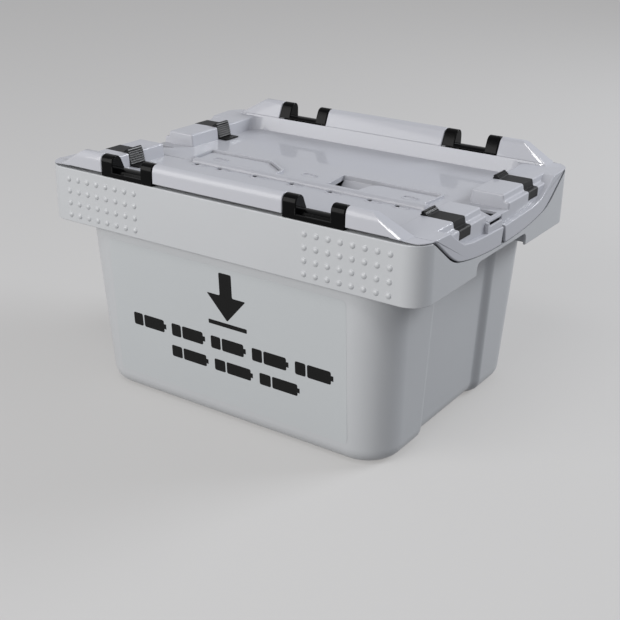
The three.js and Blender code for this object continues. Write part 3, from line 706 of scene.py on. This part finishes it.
def pad_hollow(side, end, near, far, inset):
    low = LID_UNDER - OVERLAP
    outline = pad_line(inset) + [(STEP_FACE - inset, low), (PAD[0][0] + inset, low)]
    return bar(mirrored(outline, end), *span(near, far, side), "Y")


def pad_hollows(side_name, end):
    side = SIDES[side_name]
    near, far = STRIP_Y[0] - WALL, STRIP_Y[1] + WALL
    backed = pad_hollow(side, end, near - OVERLAP / 2, far + OVERLAP / 2, STRIP_SEAT + WALL)
    return [
        pad_hollow(side, end, PAD_EDGE[side_name] + WALL, near, WALL),
        backed,
        pad_hollow(side, end, far, RAIL_FOOT[0] - WALL / 2, WALL),
    ]


def end_band(side, end, inner):
    ledge = list(LEDGE) + [LEDGE_END, (LEDGE_END[0], RAIL_BOTTOM)]
    outline = ledge + [LIP[-1]] + swept(LIP)[:-1][::-1]
    band = bar(mirrored(outline, side), *span(inner, HALF_LENGTH, end), "X")
    return soften(work(band, keeps=[within_collar()]), EDGE["band"])


def step_wall(side_name, end):
    """Under each pad the step face goes on down to the ledge."""
    edge, low = PAD_EDGE[side_name], LEDGE[0][1] - OVERLAP
    outline = [(edge, LID_FLOOR), (edge, low)] + lowered(LEDGE[1:-1], OVERLAP)
    return bar(mirrored(outline, SIDES[side_name]), *span(STEP_FACE - WALL, STEP_FACE, end), "X")


def split_wall(side, end):
    """On the back half the step face runs on to the split as a short wall."""
    far = PAD_EDGE["back"] + WALL
    outline = list(NOTCH) + [(far, LID_FLOOR), (far, NOTCH[0][1])]
    wall = bar(mirrored(outline, side), *span(STEP_FACE - WALL, STEP_FACE, end), "X")
    return soften(wall, EDGE["small"])


def front_lip(side, end):
    """On the front half a low lip stands outside the tongue of the back half."""
    near, far = PAD_EDGE["front"], PAD_EDGE["front"] + WALL
    outline = [
        NOTCH[0], NOTCH[1], (NOTCH[1][0], FRONT_LIP_TOP), (far, FRONT_LIP_TOP), (far, NOTCH[0][1]),
    ]
    lip = soften(bar(mirrored(outline, side), *span(*FRONT_LIP_X, end), "X"), EDGE["small"])
    low = NOTCH[0][1] - WALL
    tie = [(near, low), (far, low), (far, LID_FLOOR), (near, LID_FLOOR)]
    return [lip, bar(mirrored(tie, side), *span(STEP_FACE - WALL, FRONT_LIP_X[1], end), "X")]


def end_hollow(side, end, inner):
    near = LEDGE[0][0] - REACH
    line = lowered(LEDGE, WALL)
    low = LID_UNDER - REACH
    outline = [(near, line[0][1])] + line
    outline += [(RAIL_FOOT[0], LEDGE_END[1] - WALL), (RAIL_FOOT[0], low), (near, low)]
    return bar(mirrored(outline, side), *span(inner, HALF_LENGTH - WALL, end), "X")


def wing(side_name, end):
    side = SIDES[side_name]
    middle = (PAD[0][0] + PAD[3][0]) / 2
    band = end_band(side, end, middle)
    pads = [pad_solid(side_name, end), step_wall(side_name, end)]
    if side_name == "back":
        return work(band, joins=pads + [split_wall(side, end)])
    clear = block(end * (middle - REACH), end * FRONT_LIP_X[0], -PAD_EDGE["front"], REACH,
                  LID_UNDER - REACH, LEDGE[1][1])
    band = work(band, cuts=[clear])
    return work(band, joins=pads + front_lip(side, end))


def under_floor(side, end):
    inner, outer = end * (PAD[0][0] - REACH), end * (STEP_FACE - WALL)
    return block(inner, outer, side * -REACH, side * RAIL_FOOT[0], LID_UNDER - REACH, LID_UNDER)


def bevel_cuts(drop):
    cuts = []
    for end in (-1, 1):
        top = RAIL_HEIGHT + REACH
        outline = [
            (BEVEL_TOP_X, RAIL_HEIGHT - drop), (BEVEL_TOE[0], BEVEL_TOE[1] - drop),
            (BEVEL_OUTER_X, BEVEL_TOE[1] - drop), (BEVEL_OUTER_X, top), (BEVEL_TOP_X - REACH, top),
            (BEVEL_TOP_X - REACH, RAIL_HEIGHT + OVERLAP - drop),
            (BEVEL_TOP_X - OVERLAP, RAIL_HEIGHT + OVERLAP - drop),
        ]
        cuts.append(bar(mirrored(outline, end), -HALF_WIDTH - REACH, HALF_WIDTH + REACH, "Y"))
    return cuts


def corner_plate(side, end):
    """Past the slope of the rail a thin plate runs out to the rounded corner."""
    start, level = CORNER_PLATE_X
    toe_x, top = BEVEL_TOE
    fall = (RAIL_HEIGHT - top) / (toe_x - BEVEL_TOP_X)
    step = RAIL_BOTTOM + CORNER_PLATE_STEP
    outline = [
        (start, RAIL_BOTTOM), (start, step), (toe_x - (step - top) / fall, step), (toe_x, top),
        (HALF_LENGTH, top), (HALF_LENGTH, CORNER_PLATE_LOW), (level, CORNER_PLATE_LOW),
    ]
    plate = bar(mirrored(outline, end), *span(RAIL_CREASE[0] + OVERLAP, HALF_WIDTH, side), "Y")
    reach = block(-HALF_LENGTH, HALF_LENGTH, 0, side * HINGE_Y, 0, RAIL_HEIGHT)
    swing = rod(SWING_LIMIT, -HALF_LENGTH, HALF_LENGTH, side * HINGE_Y, HINGE_Z, 96)
    reach = work(reach, joins=[swing])
    plate = work(plate, keeps=[within_collar(), reach])
    return soften(plate, EDGE["plate"], 3, angle=40)


def below_lip(side, end):
    """Beside the corners of the tub the lid ends above the sloping rim."""
    line = swept(LIP)
    low = LID_UNDER - REACH
    outline = line + [(HALF_WIDTH, RAIL_BOTTOM), (HALF_WIDTH, low), (line[0][0], low)]
    wide = bar(mirrored(outline, side), *span(LIP_CORNER_X, HALF_LENGTH + REACH, end), "X")
    return work(wide, cuts=[block(0, end * LIP_LIMIT_X, 0, side * LIP_LIMIT_Y, 0, RAIL_HEIGHT)])


def strip_channel(side, end):
    low = STRIP_LOW_END - STRIP_GAP
    top = RAIL_HEIGHT + REACH
    outline = pad_line(STRIP_SEAT) + [
        (STEP_FACE - STRIP_SEAT, low), (STEP_FACE + OVERLAP, low), (STEP_FACE + OVERLAP, top),
        (PAD[0][0] - OVERLAP, top), (PAD[0][0] - OVERLAP, LID_FLOOR),
    ]
    near, far = STRIP_Y[0] - STRIP_GAP, STRIP_Y[1] + STRIP_GAP
    return bar(mirrored(outline, end), *span(near, far, side), "Y")


def lid_shell(side_name, floor_plan, extras):
    side = SIDES[side_name]
    rails = rail_solids(side)
    plate = soften(bar(floor_plan, LID_UNDER, LID_FLOOR, "Z"), EDGE["small"])
    parts = [plate] + extras
    hollows, below, plates = rail_hollows(side), [], []
    for end in (-1, 1):
        parts += [wing(side_name, end), corner_cove(side, end)]
        hollows += pad_hollows(side_name, end)
        hollows += [end_hollow(side, end, STEP_FACE - WALL - OVERLAP), under_floor(side, end)]
        below.append(below_lip(side, end))
        plates.append(corner_plate(side, end))
    inner = rounded_plan(HALF_LENGTH - WALL, HALF_WIDTH - WALL, COLLAR_CORNER - WALL)
    inside = bar(inner, 0, RAIL_HEIGHT + REACH, "Z")
    body = work(rails[0], joins=rails[1:] + parts)
    body = work(body, keeps=[within_collar()], cuts=below + bevel_cuts(0))
    hollow = work(hollows[0], joins=hollows[1:])
    hollow = work(hollow, keeps=[inside], cuts=bevel_cuts(WALL + OVERLAP / 2))
    trims = slope_trims(side, -1) + slope_trims(side, 1)
    return work(work(body, cuts=[hollow] + trims), joins=plates)


def fit_hinges(lid, side):
    """Bearings for the trunnions and seats for the anti-slip strips."""
    cuts = []
    for end in (-1, 1):
        x = end * HINGE_X
        half = BRACKET_HALF + HINGE_GAP
        far = half + WEB + OVERLAP
        cuts.append(rod(BEARING_RADIUS, x - far, x + far, side * HINGE_Y, HINGE_Z))
        cuts.append(strip_channel(side, end))
    return work(lid, cuts=cuts)


def ridge_bar():
    front, back = RIDGE_Y
    outline = [(front, LID_FLOOR)]
    outline += curve((front, LID_FLOOR), (front + OVERLAP, RIDGE_TOP), (SPLIT_FRONT, RIDGE_TOP), 6)
    outline += [(SPLIT_BACK, RIDGE_TOP)]
    outline += curve((SPLIT_BACK, RIDGE_TOP), (back, RIDGE_TOP), (back, LID_FLOOR), 6)
    outline += [(back, LID_UNDER), (front, LID_UNDER)]
    return soften(bar(outline, *RIDGE_X, "X"), EDGE["ridge"])


def peep_outline(x, y, grow=0.0):
    blunt, wide, narrow = 2.8 + grow, 3.8 + grow, 2.0 + grow
    tail = [
        (x - blunt, y), (x - blunt, y - wide * 0.6), (x, y - wide), (x + 12.6, y - narrow),
        (x + 14 + grow, y), (x + 12.6, y + narrow), (x, y + wide), (x - blunt, y + wide * 0.6),
    ]
    return rounded_outline(tail, 1.8)


def peep_rim(x, y):
    width, height = PEEP_RIM
    rim = bar(peep_outline(x, y, width), LID_FLOOR - OVERLAP, LID_FLOOR + height, "Z")
    return soften(rim, height * 0.8, 2)


def peep(x, y, through):
    """A sight hole at the blunt end of a tear-drop recess."""
    cuts = [bar(peep_outline(x, y), LID_FLOOR - PEEP_RECESS, RAIL_HEIGHT, "Z")]
    if through:
        hole = [
            (x + PEEP_HALF[0] * math.cos(i / PEEP_SIDES * math.tau),
             y + PEEP_SHIFT + PEEP_HALF[1] * math.sin(i / PEEP_SIDES * math.tau))
            for i in range(PEEP_SIDES)
        ]
        cuts.append(bar(hole, LID_UNDER - OVERLAP, LID_FLOOR, "Z"))
        room = [(x + (a - x) * 2.2, y + (b - y) * 2.2) for a, b in hole]
        cuts.append(bar(room, LID_UNDER - OVERLAP, LID_FLOOR - PEEP_RECESS - PEEP_SKIN, "Z"))
    return cuts


def pocket_leaf(pocket):
    """Under the far edge of a pocket a leaf leans away from the teeth."""
    far = sorted(pocket, key=lambda point: -point[1])[:2]
    face, top, low = far[0][1], LID_UNDER + OVERLAP, LID_UNDER - LEAF_DROP
    outline = [
        (face, top), (face + WALL, top), (face + WALL, LID_UNDER),
        (face + WALL + LEAF_LEAN, low), (face + LEAF_LEAN, low), (face, LID_UNDER),
    ]
    return bar(outline, min(far[0][0], far[1][0]), max(far[0][0], far[1][0]), "X")


def gloss_facets(lid, side, gloss):
    """Gives the facets along the slopes their polish."""
    lid.data.materials.append(gloss)
    wanted = [normal for end in (-1, 1) for _, normal, _ in slope_facets(side, end)]
    for face in lid.data.polygons:
        if face.center.z > (RAIL_BOTTOM - OVERLAP) * MM and any(
                (face.normal - normal).length < 0.02 for normal in wanted):
            face.material_index = 1
    return lid


def pocket_scoop():
    """Beside the right tooth the leaf runs forward as a sloping scoop."""
    (start, end), far = SCOOP_X, POCKET_RIGHT[2][1]
    near, low = SCOOP_FOOT
    outline = [
        (far + WALL, LID_UNDER + OVERLAP), (far, LID_UNDER + OVERLAP), (far - 0.4, LID_UNDER),
        (near, low), (near + 1.2, low - 1.6), (far + WALL, LID_UNDER - 1.6),
    ]
    return bar(outline, start, end, "X")


def build_front_lid(material, gloss):
    edge = RAIL_FOOT[0] + WALL
    plan = [
        (-STEP_FACE, -edge), (STEP_FACE, -edge), (STEP_FACE, SPLIT_FRONT),
        (RIDGE_X[1], SPLIT_FRONT), (RIDGE_X[1], RIDGE_Y[1]), (RIDGE_X[0], RIDGE_Y[1]),
        (RIDGE_X[0], SPLIT_FRONT), (-STEP_FACE, SPLIT_FRONT),
    ]
    teeth = []
    for outline in (TOOTH_LEFT, TOOTH_RIGHT):
        tooth = bar(rounded_outline(outline, 3.0, ends=False), LID_UNDER, LID_FLOOR, "Z")
        teeth.append(soften(tooth, EDGE["small"]))
    places = [(x, PEEP_Y) for x in PEEPS] + list(BLIND_PEEPS_FRONT)
    rims = [peep_rim(x, y) for x, y in places]
    lid = fit_hinges(lid_shell("front", plan, teeth + rims + [ridge_bar()]), -1)
    cuts = [tool for x in PEEPS for tool in peep(x, PEEP_Y, True)]
    cuts += [tool for x, y in BLIND_PEEPS_FRONT for tool in peep(x, y, False)]
    lid = finish_shading(tidy(work(lid, cuts=cuts)))
    piece(lid, "front_lid_half", "front_lid", "lid_plastic", material, "front_flap")
    return gloss_facets(lid, -1, gloss)


def build_back_lid(material, gloss):
    edge = RAIL_FOOT[0] + WALL
    plan = [
        (-TONGUE_OUTER, edge), (TONGUE_OUTER, edge), (TONGUE_OUTER, SPLIT_BACK),
        (RIDGE_X[1] + OVERLAP, SPLIT_BACK), (RIDGE_X[1] + OVERLAP, EDGE_BEHIND_RIDGE),
        (RIDGE_X[0] - OVERLAP, EDGE_BEHIND_RIDGE), (RIDGE_X[0] - OVERLAP, SPLIT_BACK),
        (-TONGUE_OUTER, SPLIT_BACK),
    ]
    lid = fit_hinges(lid_shell("back", plan, [peep_rim(x, y) for x, y in BLIND_PEEPS_BACK]), 1)
    cuts, rims = [], []
    for rim, pocket in ((RIM_LEFT, POCKET_LEFT), (RIM_RIGHT, POCKET_RIGHT)):
        inner = rounded_outline(pocket, 3.0, ends=False)
        cuts.append(bar(inner, 0, RAIL_HEIGHT, "Z"))
        ring = bar(rounded_outline(rim, 5.0, ends=False), LID_UNDER, RIM_TOP, "Z")
        ring = work(ring, cuts=[bar(inner, 0, RAIL_HEIGHT, "Z")])
        rims += [soften(ring, EDGE["rim"]), pocket_leaf(pocket)]
    rims.append(pocket_scoop())
    for end in (-1, 1):
        hole = rounded_outline(mirrored(END_HOLE, end), 1.5)
        cuts.append(bar(hole, LID_UNDER - OVERLAP, RAIL_HEIGHT, "Z"))
    cuts += [tool for x, y in BLIND_PEEPS_BACK for tool in peep(x, y, False)]
    lid = finish_shading(tidy(work(work(lid, cuts=cuts), joins=rims)))
    piece(lid, "back_lid_half", "back_lid", "lid_plastic", material, "back_flap")
    return gloss_facets(lid, 1, gloss)


# Hinge brackets

def build_bracket(side_name, end_name, material):
    side, end = SIDES[side_name], ENDS[end_name]
    middle = end * HINGE_X
    seat = [(HALF_WIDTH, BRACKET_SEAT)]
    under = [(LOBE_INNER, LOBE_UNDER), (BRACKET_INNER, LOBE_UNDER), (BRACKET_INNER, BRACKET_SEAT)]
    lobe = seat + rail_top()[:-1] + [LOBE_FACE] + under
    bridge = seat + list(BRIDGE_TOP) + under
    body = bar(mirrored(bridge, side), middle - BRACKET_HALF, middle + BRACKET_HALF, "X")
    body = soften(body, EDGE["small"])
    parts = []
    for sign in (-1, 1):
        start, stop = span(BRACKET_HALF - LOBE_WIDTH, BRACKET_HALF, sign)
        block_of_lobe = bar(mirrored(lobe, side), middle + start, middle + stop, "X")
        parts.append(soften(block_of_lobe, EDGE["lobe"], 4))
        inner, outer = span(BRACKET_HALF - LOBE_WIDTH / 2, BRACKET_HALF + TRUNNION_LENGTH, sign)
        parts.append(rod(TRUNNION_RADIUS, middle + inner, middle + outer, side * HINGE_Y, HINGE_Z))
        leg = middle + sign * LEG_X
        near, far = side * LEG_Y[0], side * LEG_Y[1]
        top = BRACKET_SEAT + OVERLAP
        parts.append(block(leg - LEG_HALF, leg + LEG_HALF, near, far, LEG_BOTTOM, top))
        parts.append(block(leg - BARB_HALF, leg + BARB_HALF, near, far, *BARB_Z))
    clip = finish_shading(tidy(work(body, joins=parts)))
    node = f"hinge_{side_name}_{end_name}"
    return piece(clip, f"hinge_clip_{side_name}_{end_name}", "box", "hinge_plastic", material, node)


# Anti-slip strips

def build_strip(side_name, end_name, material, polish):
    """A matt strip over the pad, whose ribs and nose are polished."""
    side, end = SIDES[side_name], ENDS[end_name]
    inset = STRIP_SEAT - STRIP_GAP
    seat = LID_FLOOR + STRIP_GAP
    (foot_x, foot_z), (head_x, head_z) = STRIP_FOOT, STRIP_HEAD
    ribs = []
    for i in range(STRIP_RIBS):
        for share, depth in RIB_PROFILE:
            t = (i + share) / STRIP_RIBS
            ribs.append((foot_x + (head_x - foot_x) * t - depth, foot_z + (head_z - foot_z) * t))
    outline = [(STRIP_TOE_X, seat), (STRIP_TOE_X, STRIP_TOE_TOP), STRIP_FOOT] + ribs
    outline += [STRIP_HEAD] + list(STRIP_NOSE) + list(PAD[2:]) + [
        (STEP_FACE, PAD[4][1] - OVERLAP), (STEP_FACE, STRIP_LOW_END),
        (STEP_FACE - inset, STRIP_LOW_END),
    ]
    outline += pad_line(inset)[::-1][:-1] + [(PAD[0][0] + inset, seat)]
    strip = bar(mirrored(outline, end), *span(*STRIP_Y, side), "Y")
    strip = shade(soften(strip, EDGE["strip"], 2, 60), 14)
    node = f"strip_{side_name}_{end_name}"
    body = f"{side_name}_lid"
    piece(strip, f"grip_strip_{side_name}_{end_name}", body, "strip_rubber", material, node)
    strip.data.materials.append(polish)
    for face in strip.data.polygons:
        if abs(face.center.x) < STRIP_POLISH_X * MM and abs(face.normal.z) < 0.95:
            face.material_index = 1
    return strip


# Label film and prints

def wall_y(z):
    """Y of the sloping front wall at a height."""
    slope = (THROAT_HALF_WIDTH - FOOT_HALF_WIDTH) / (THROAT_HEIGHT - FOOT_EDGE)
    return -(FOOT_HALF_WIDTH + (z - FOOT_EDGE) * slope)


def film(outlines, proud, name):
    """Flat shapes laid on the front wall, given as (x, z) outlines."""
    bm = bmesh.new()
    for outline in outlines:
        front = [bm.verts.new((x, wall_y(z) - proud, z)) for x, z in outline]
        back = [bm.verts.new((x, wall_y(z) + 0.05, z)) for x, z in outline]
        bm.faces.new(front)
        bm.faces.new(back)
        for i in range(len(outline)):
            j = (i + 1) % len(outline)
            bm.faces.new((front[i], front[j], back[j], back[i]))
    return make_object(name, bm)


def cell_shapes(x, z, length, height):
    """A plain round cell lying on its side: body, band and nub."""
    low, high = z - height / 2, z + height / 2
    band = length * 0.3
    left = rounded_outline([(x, low), (x + band, low), (x + band, high), (x, high)], height * 0.16)
    right = rounded_outline([
        (x + band + CELL_GAP, low), (x + length, low), (x + length, high),
        (x + band + CELL_GAP, high),
    ], height * 0.16)
    nub = [
        (x + length, z - height * 0.2), (x + length + height * 0.2, z - height * 0.2),
        (x + length + height * 0.2, z + height * 0.2), (x + length, z + height * 0.2),
    ]
    return [left, right, nub]


def arrow_shapes(x, z, height, width):
    """A plain downward arrow over a short bar: this way in."""
    head = height * 0.46
    shaft = width * 0.16
    tip = z + height * 0.12
    arrow = rounded_outline([
        (x, tip), (x + width / 2, tip + head), (x + shaft, tip + head), (x + shaft, z + height),
        (x - shaft, z + height), (x - shaft, tip + head), (x - width / 2, tip + head),
    ], 1.6)
    foot = rounded_outline([
        (x - width / 2, z), (x + width / 2, z), (x + width / 2, z + height * 0.08),
        (x - width / 2, z + height * 0.08),
    ], 1.0)
    return [arrow, foot]


def build_label(film_material, ink):
    label = film([rounded_outline(LABEL, 5)], LABEL_PROUD, "label_film")
    piece(label, "label_film", "box", "tub_plastic", film_material)
    shapes = []
    for count, first, pitch, z, length, height in CELL_ROWS:
        for i in range(count):
            shapes += cell_shapes(first + i * pitch, z, length, height)
    shapes += arrow_shapes(*ARROW)
    prints = film(shapes, PRINT_PROUD, "label_print")
    piece(prints, "label_print", "box", "hinge_plastic", ink)


# Materials

def node_group(name, inputs, outputs):
    group = bpy.data.node_groups.new(name, "ShaderNodeTree")
    for way, sockets in (("INPUT", inputs), ("OUTPUT", outputs)):
        for label, kind in sockets:
            group.interface.new_socket(name=label, in_out=way, socket_type=kind)
    return group, group.nodes.new("NodeGroupInput"), group.nodes.new("NodeGroupOutput")


def set_inputs(node, values):
    for label, value in values.items():
        node.inputs[label].default_value = value


def make_grain_group():
    """Fine moulded grain: a bump height and a slight change of roughness and colour."""
    group, source, result = node_group(
        "MouldedGrain",
        [("Scale", "NodeSocketFloat"), ("Tone Low", "NodeSocketColor"),
         ("Tone High", "NodeSocketColor"), ("Rough Low", "NodeSocketFloat"),
         ("Rough High", "NodeSocketFloat")],
        [("Color", "NodeSocketColor"), ("Roughness", "NodeSocketFloat"),
         ("Height", "NodeSocketFloat")],
    )
    nodes, links = group.nodes, group.links
    place = nodes.new("ShaderNodeTexCoord")
    grain = nodes.new("ShaderNodeTexNoise")
    set_inputs(grain, {"Detail": 3.0})
    links.new(place.outputs["Object"], grain.inputs["Vector"])
    links.new(source.outputs["Scale"], grain.inputs["Scale"])
    cloud = nodes.new("ShaderNodeTexNoise")
    set_inputs(cloud, {"Scale": 9.0, "Detail": 4.0})
    links.new(place.outputs["Object"], cloud.inputs["Vector"])
    tone = nodes.new("ShaderNodeMix")
    tone.data_type = "RGBA"
    links.new(cloud.outputs["Fac"], tone.inputs["Factor"])
    links.new(source.outputs["Tone Low"], tone.inputs["A"])
    links.new(source.outputs["Tone High"], tone.inputs["B"])
    links.new(tone.outputs["Result"], result.inputs["Color"])
    rough = nodes.new("ShaderNodeMapRange")
    links.new(cloud.outputs["Fac"], rough.inputs["Value"])
    links.new(source.outputs["Rough Low"], rough.inputs["To Min"])
    links.new(source.outputs["Rough High"], rough.inputs["To Max"])
    links.new(rough.outputs["Result"], result.inputs["Roughness"])
    links.new(grain.outputs["Fac"], result.inputs["Height"])
    return group


def plastic(name, grain, low, high, rough_low, rough_high, scale, bump, specular=0.5, coat=0.0,
            coat_ior=1.5):
    material = bpy.data.materials.new(name)
    material.use_nodes = True
    nodes, links = material.node_tree.nodes, material.node_tree.links
    shader = nodes["Principled BSDF"]
    set_inputs(shader, {"Specular IOR Level": specular, "Coat Weight": coat,
                        "Coat Roughness": 0.06, "Coat IOR": coat_ior})
    effect = nodes.new("ShaderNodeGroup")
    effect.node_tree = grain
    set_inputs(effect, {"Scale": scale, "Tone Low": (*low, 1), "Tone High": (*high, 1),
                        "Rough Low": rough_low, "Rough High": rough_high})
    relief = nodes.new("ShaderNodeBump")
    set_inputs(relief, {"Strength": bump, "Distance": 0.0001})
    links.new(effect.outputs["Color"], shader.inputs["Base Color"])
    links.new(effect.outputs["Roughness"], shader.inputs["Roughness"])
    links.new(effect.outputs["Height"], relief.inputs["Height"])
    links.new(relief.outputs["Normal"], shader.inputs["Normal"])
    return material


# Stage, lights and camera

def seen_rays(nodes, links):
    """One for camera, glossy and transmission rays, else zero."""
    path = nodes.new("ShaderNodeLightPath")
    seen = path.outputs["Is Camera Ray"]
    for kind in ("Is Glossy Ray", "Is Transmission Ray"):
        either = nodes.new("ShaderNodeMath")
        either.operation = "MAXIMUM"
        links.new(seen, either.inputs[0])
        links.new(path.outputs[kind], either.inputs[1])
        seen = either.outputs["Value"]
    return seen


def build_stage():
    bm = bmesh.new()
    size = FLOOR_HALF
    corners = ((-size, -size), (size, -size), (size, size), (-size, size))
    bm.faces.new([bm.verts.new((x, y, -FLOOR_DROP)) for x, y in corners])
    floor = make_object("floor", bm)
    material = bpy.data.materials.new("pale_floor")
    material.use_nodes = True
    nodes, links = material.node_tree.nodes, material.node_tree.links
    shader = nodes["Principled BSDF"]
    set_inputs(shader, {"Roughness": 0.8, "Specular IOR Level": 0.0,
                        "Emission Color": (0.32, 0.315, 0.31, 1)})
    seen = seen_rays(nodes, links)
    tone = nodes.new("ShaderNodeMix")
    tone.data_type = "RGBA"
    set_inputs(tone, {"A": (0.22, 0.22, 0.225, 1), "B": (0.26, 0.26, 0.26, 1)})
    links.new(seen, tone.inputs["Factor"])
    links.new(tone.outputs["Result"], shader.inputs["Base Color"])
    links.new(seen, shader.inputs["Emission Strength"])
    floor.data.materials.append(material)


def build_world():
    world = bpy.data.worlds.new("studio")
    bpy.context.scene.world = world
    world.use_nodes = True
    nodes, links = world.node_tree.nodes, world.node_tree.links
    fill = nodes["Background"]
    set_inputs(fill, {"Color": (0.88, 0.91, 1.0, 1), "Strength": 0.34})
    backdrop = nodes.new("ShaderNodeBackground")
    set_inputs(backdrop, {"Color": (0.52, 0.52, 0.53, 1), "Strength": 1.0})
    choose = nodes.new("ShaderNodeMixShader")
    links.new(seen_rays(nodes, links), choose.inputs["Fac"])
    links.new(fill.outputs["Background"], choose.inputs[1])
    links.new(backdrop.outputs["Background"], choose.inputs[2])
    links.new(choose.outputs["Shader"], nodes["World Output"].inputs["Surface"])


def soft_light(name, location, target, size, power, colour):
    data = bpy.data.lights.new(name, "AREA")
    data.shape = "RECTANGLE"
    data.size, data.size_y = size
    data.energy = power
    data.color = colour
    lamp = bpy.data.objects.new(name, data)
    lamp.location = location
    aim = Vector(target) - Vector(location)
    lamp.rotation_euler = aim.to_track_quat("-Z", "Y").to_euler()
    bpy.context.scene.collection.objects.link(lamp)


def build_lights():
    soft_light("key", (-0.78, -2.35, 0.85), (0, 0, 0.14), (2.6, 1.7), 55, (1.0, 0.99, 0.975))
    soft_light("crown", (0.22, -1.06, 1.89), (0.14, 0, 0.23), (1.0, 0.48), 8.5, (1.0, 0.99, 0.98))
    soft_light("side", (1.5, 1.7, 1.45), (0, 0, 0.2), (1.2, 0.8), 48, (0.94, 0.965, 1.0))


def build_camera():
    data = bpy.data.cameras.new("camera")
    data.sensor_width = 36
    data.lens = CAMERA_LENS
    data.clip_start, data.clip_end = 0.01, 50
    camera = bpy.data.objects.new("camera", data)
    camera.location = CAMERA_PLACE
    camera.rotation_euler = Euler([math.radians(angle) for angle in CAMERA_TURN])
    bpy.context.scene.collection.objects.link(camera)
    bpy.context.scene.camera = camera


def build_everything():
    build_camera()
    build_world()
    build_lights()
    build_stage()
    grain = make_grain_group()
    tub_grey = plastic("tub_grey", grain, (0.455, 0.465, 0.475), (0.475, 0.485, 0.495),
                       0.40, 0.48, 1500, 0.25, coat=0.2)
    lid_grey = plastic("lid_grey", grain, (0.45, 0.455, 0.485), (0.47, 0.475, 0.505),
                       0.40, 0.48, 1500, 0.10, specular=0.15, coat=0.5)
    lid_gloss = plastic("lid_gloss", grain, (0.45, 0.455, 0.485), (0.47, 0.475, 0.505),
                        0.20, 0.26, 1500, 0.0, specular=0.5, coat=1.0, coat_ior=1.9)
    clip_black = plastic("clip_black", grain, (0.0012, 0.0012, 0.0014), (0.002, 0.002, 0.0022),
                         0.10, 0.16, 1800, 0.08, specular=0.09)
    strip_black = plastic("strip_black", grain, (0.006, 0.006, 0.0065), (0.010, 0.010, 0.0105),
                          0.42, 0.52, 2500, 0.3, specular=0.2)
    rib_black = plastic("rib_black", grain, (0.004, 0.004, 0.0045), (0.007, 0.007, 0.0075),
                        0.10, 0.16, 2500, 0.05, specular=0.16)
    film_grey = plastic("film_grey", grain, (0.456, 0.474, 0.482), (0.466, 0.484, 0.492),
                        0.30, 0.36, 900, 0.08)
    ink = plastic("ink", grain, (0.004, 0.004, 0.004), (0.006, 0.006, 0.006), 0.35, 0.42, 900, 0.05,
                  specular=0.15)
    build_tub(tub_grey)
    for side_name in SIDES:
        build_dots(side_name, tub_grey)
        for end_name in ENDS:
            build_bracket(side_name, end_name, clip_black)
            build_strip(side_name, end_name, strip_black, rib_black)
    build_front_lid(lid_grey, lid_gloss)
    build_back_lid(lid_grey, lid_gloss)
    build_label(film_grey, ink)


bpy.context.scene.view_settings.view_transform = "Standard"
build_everything()
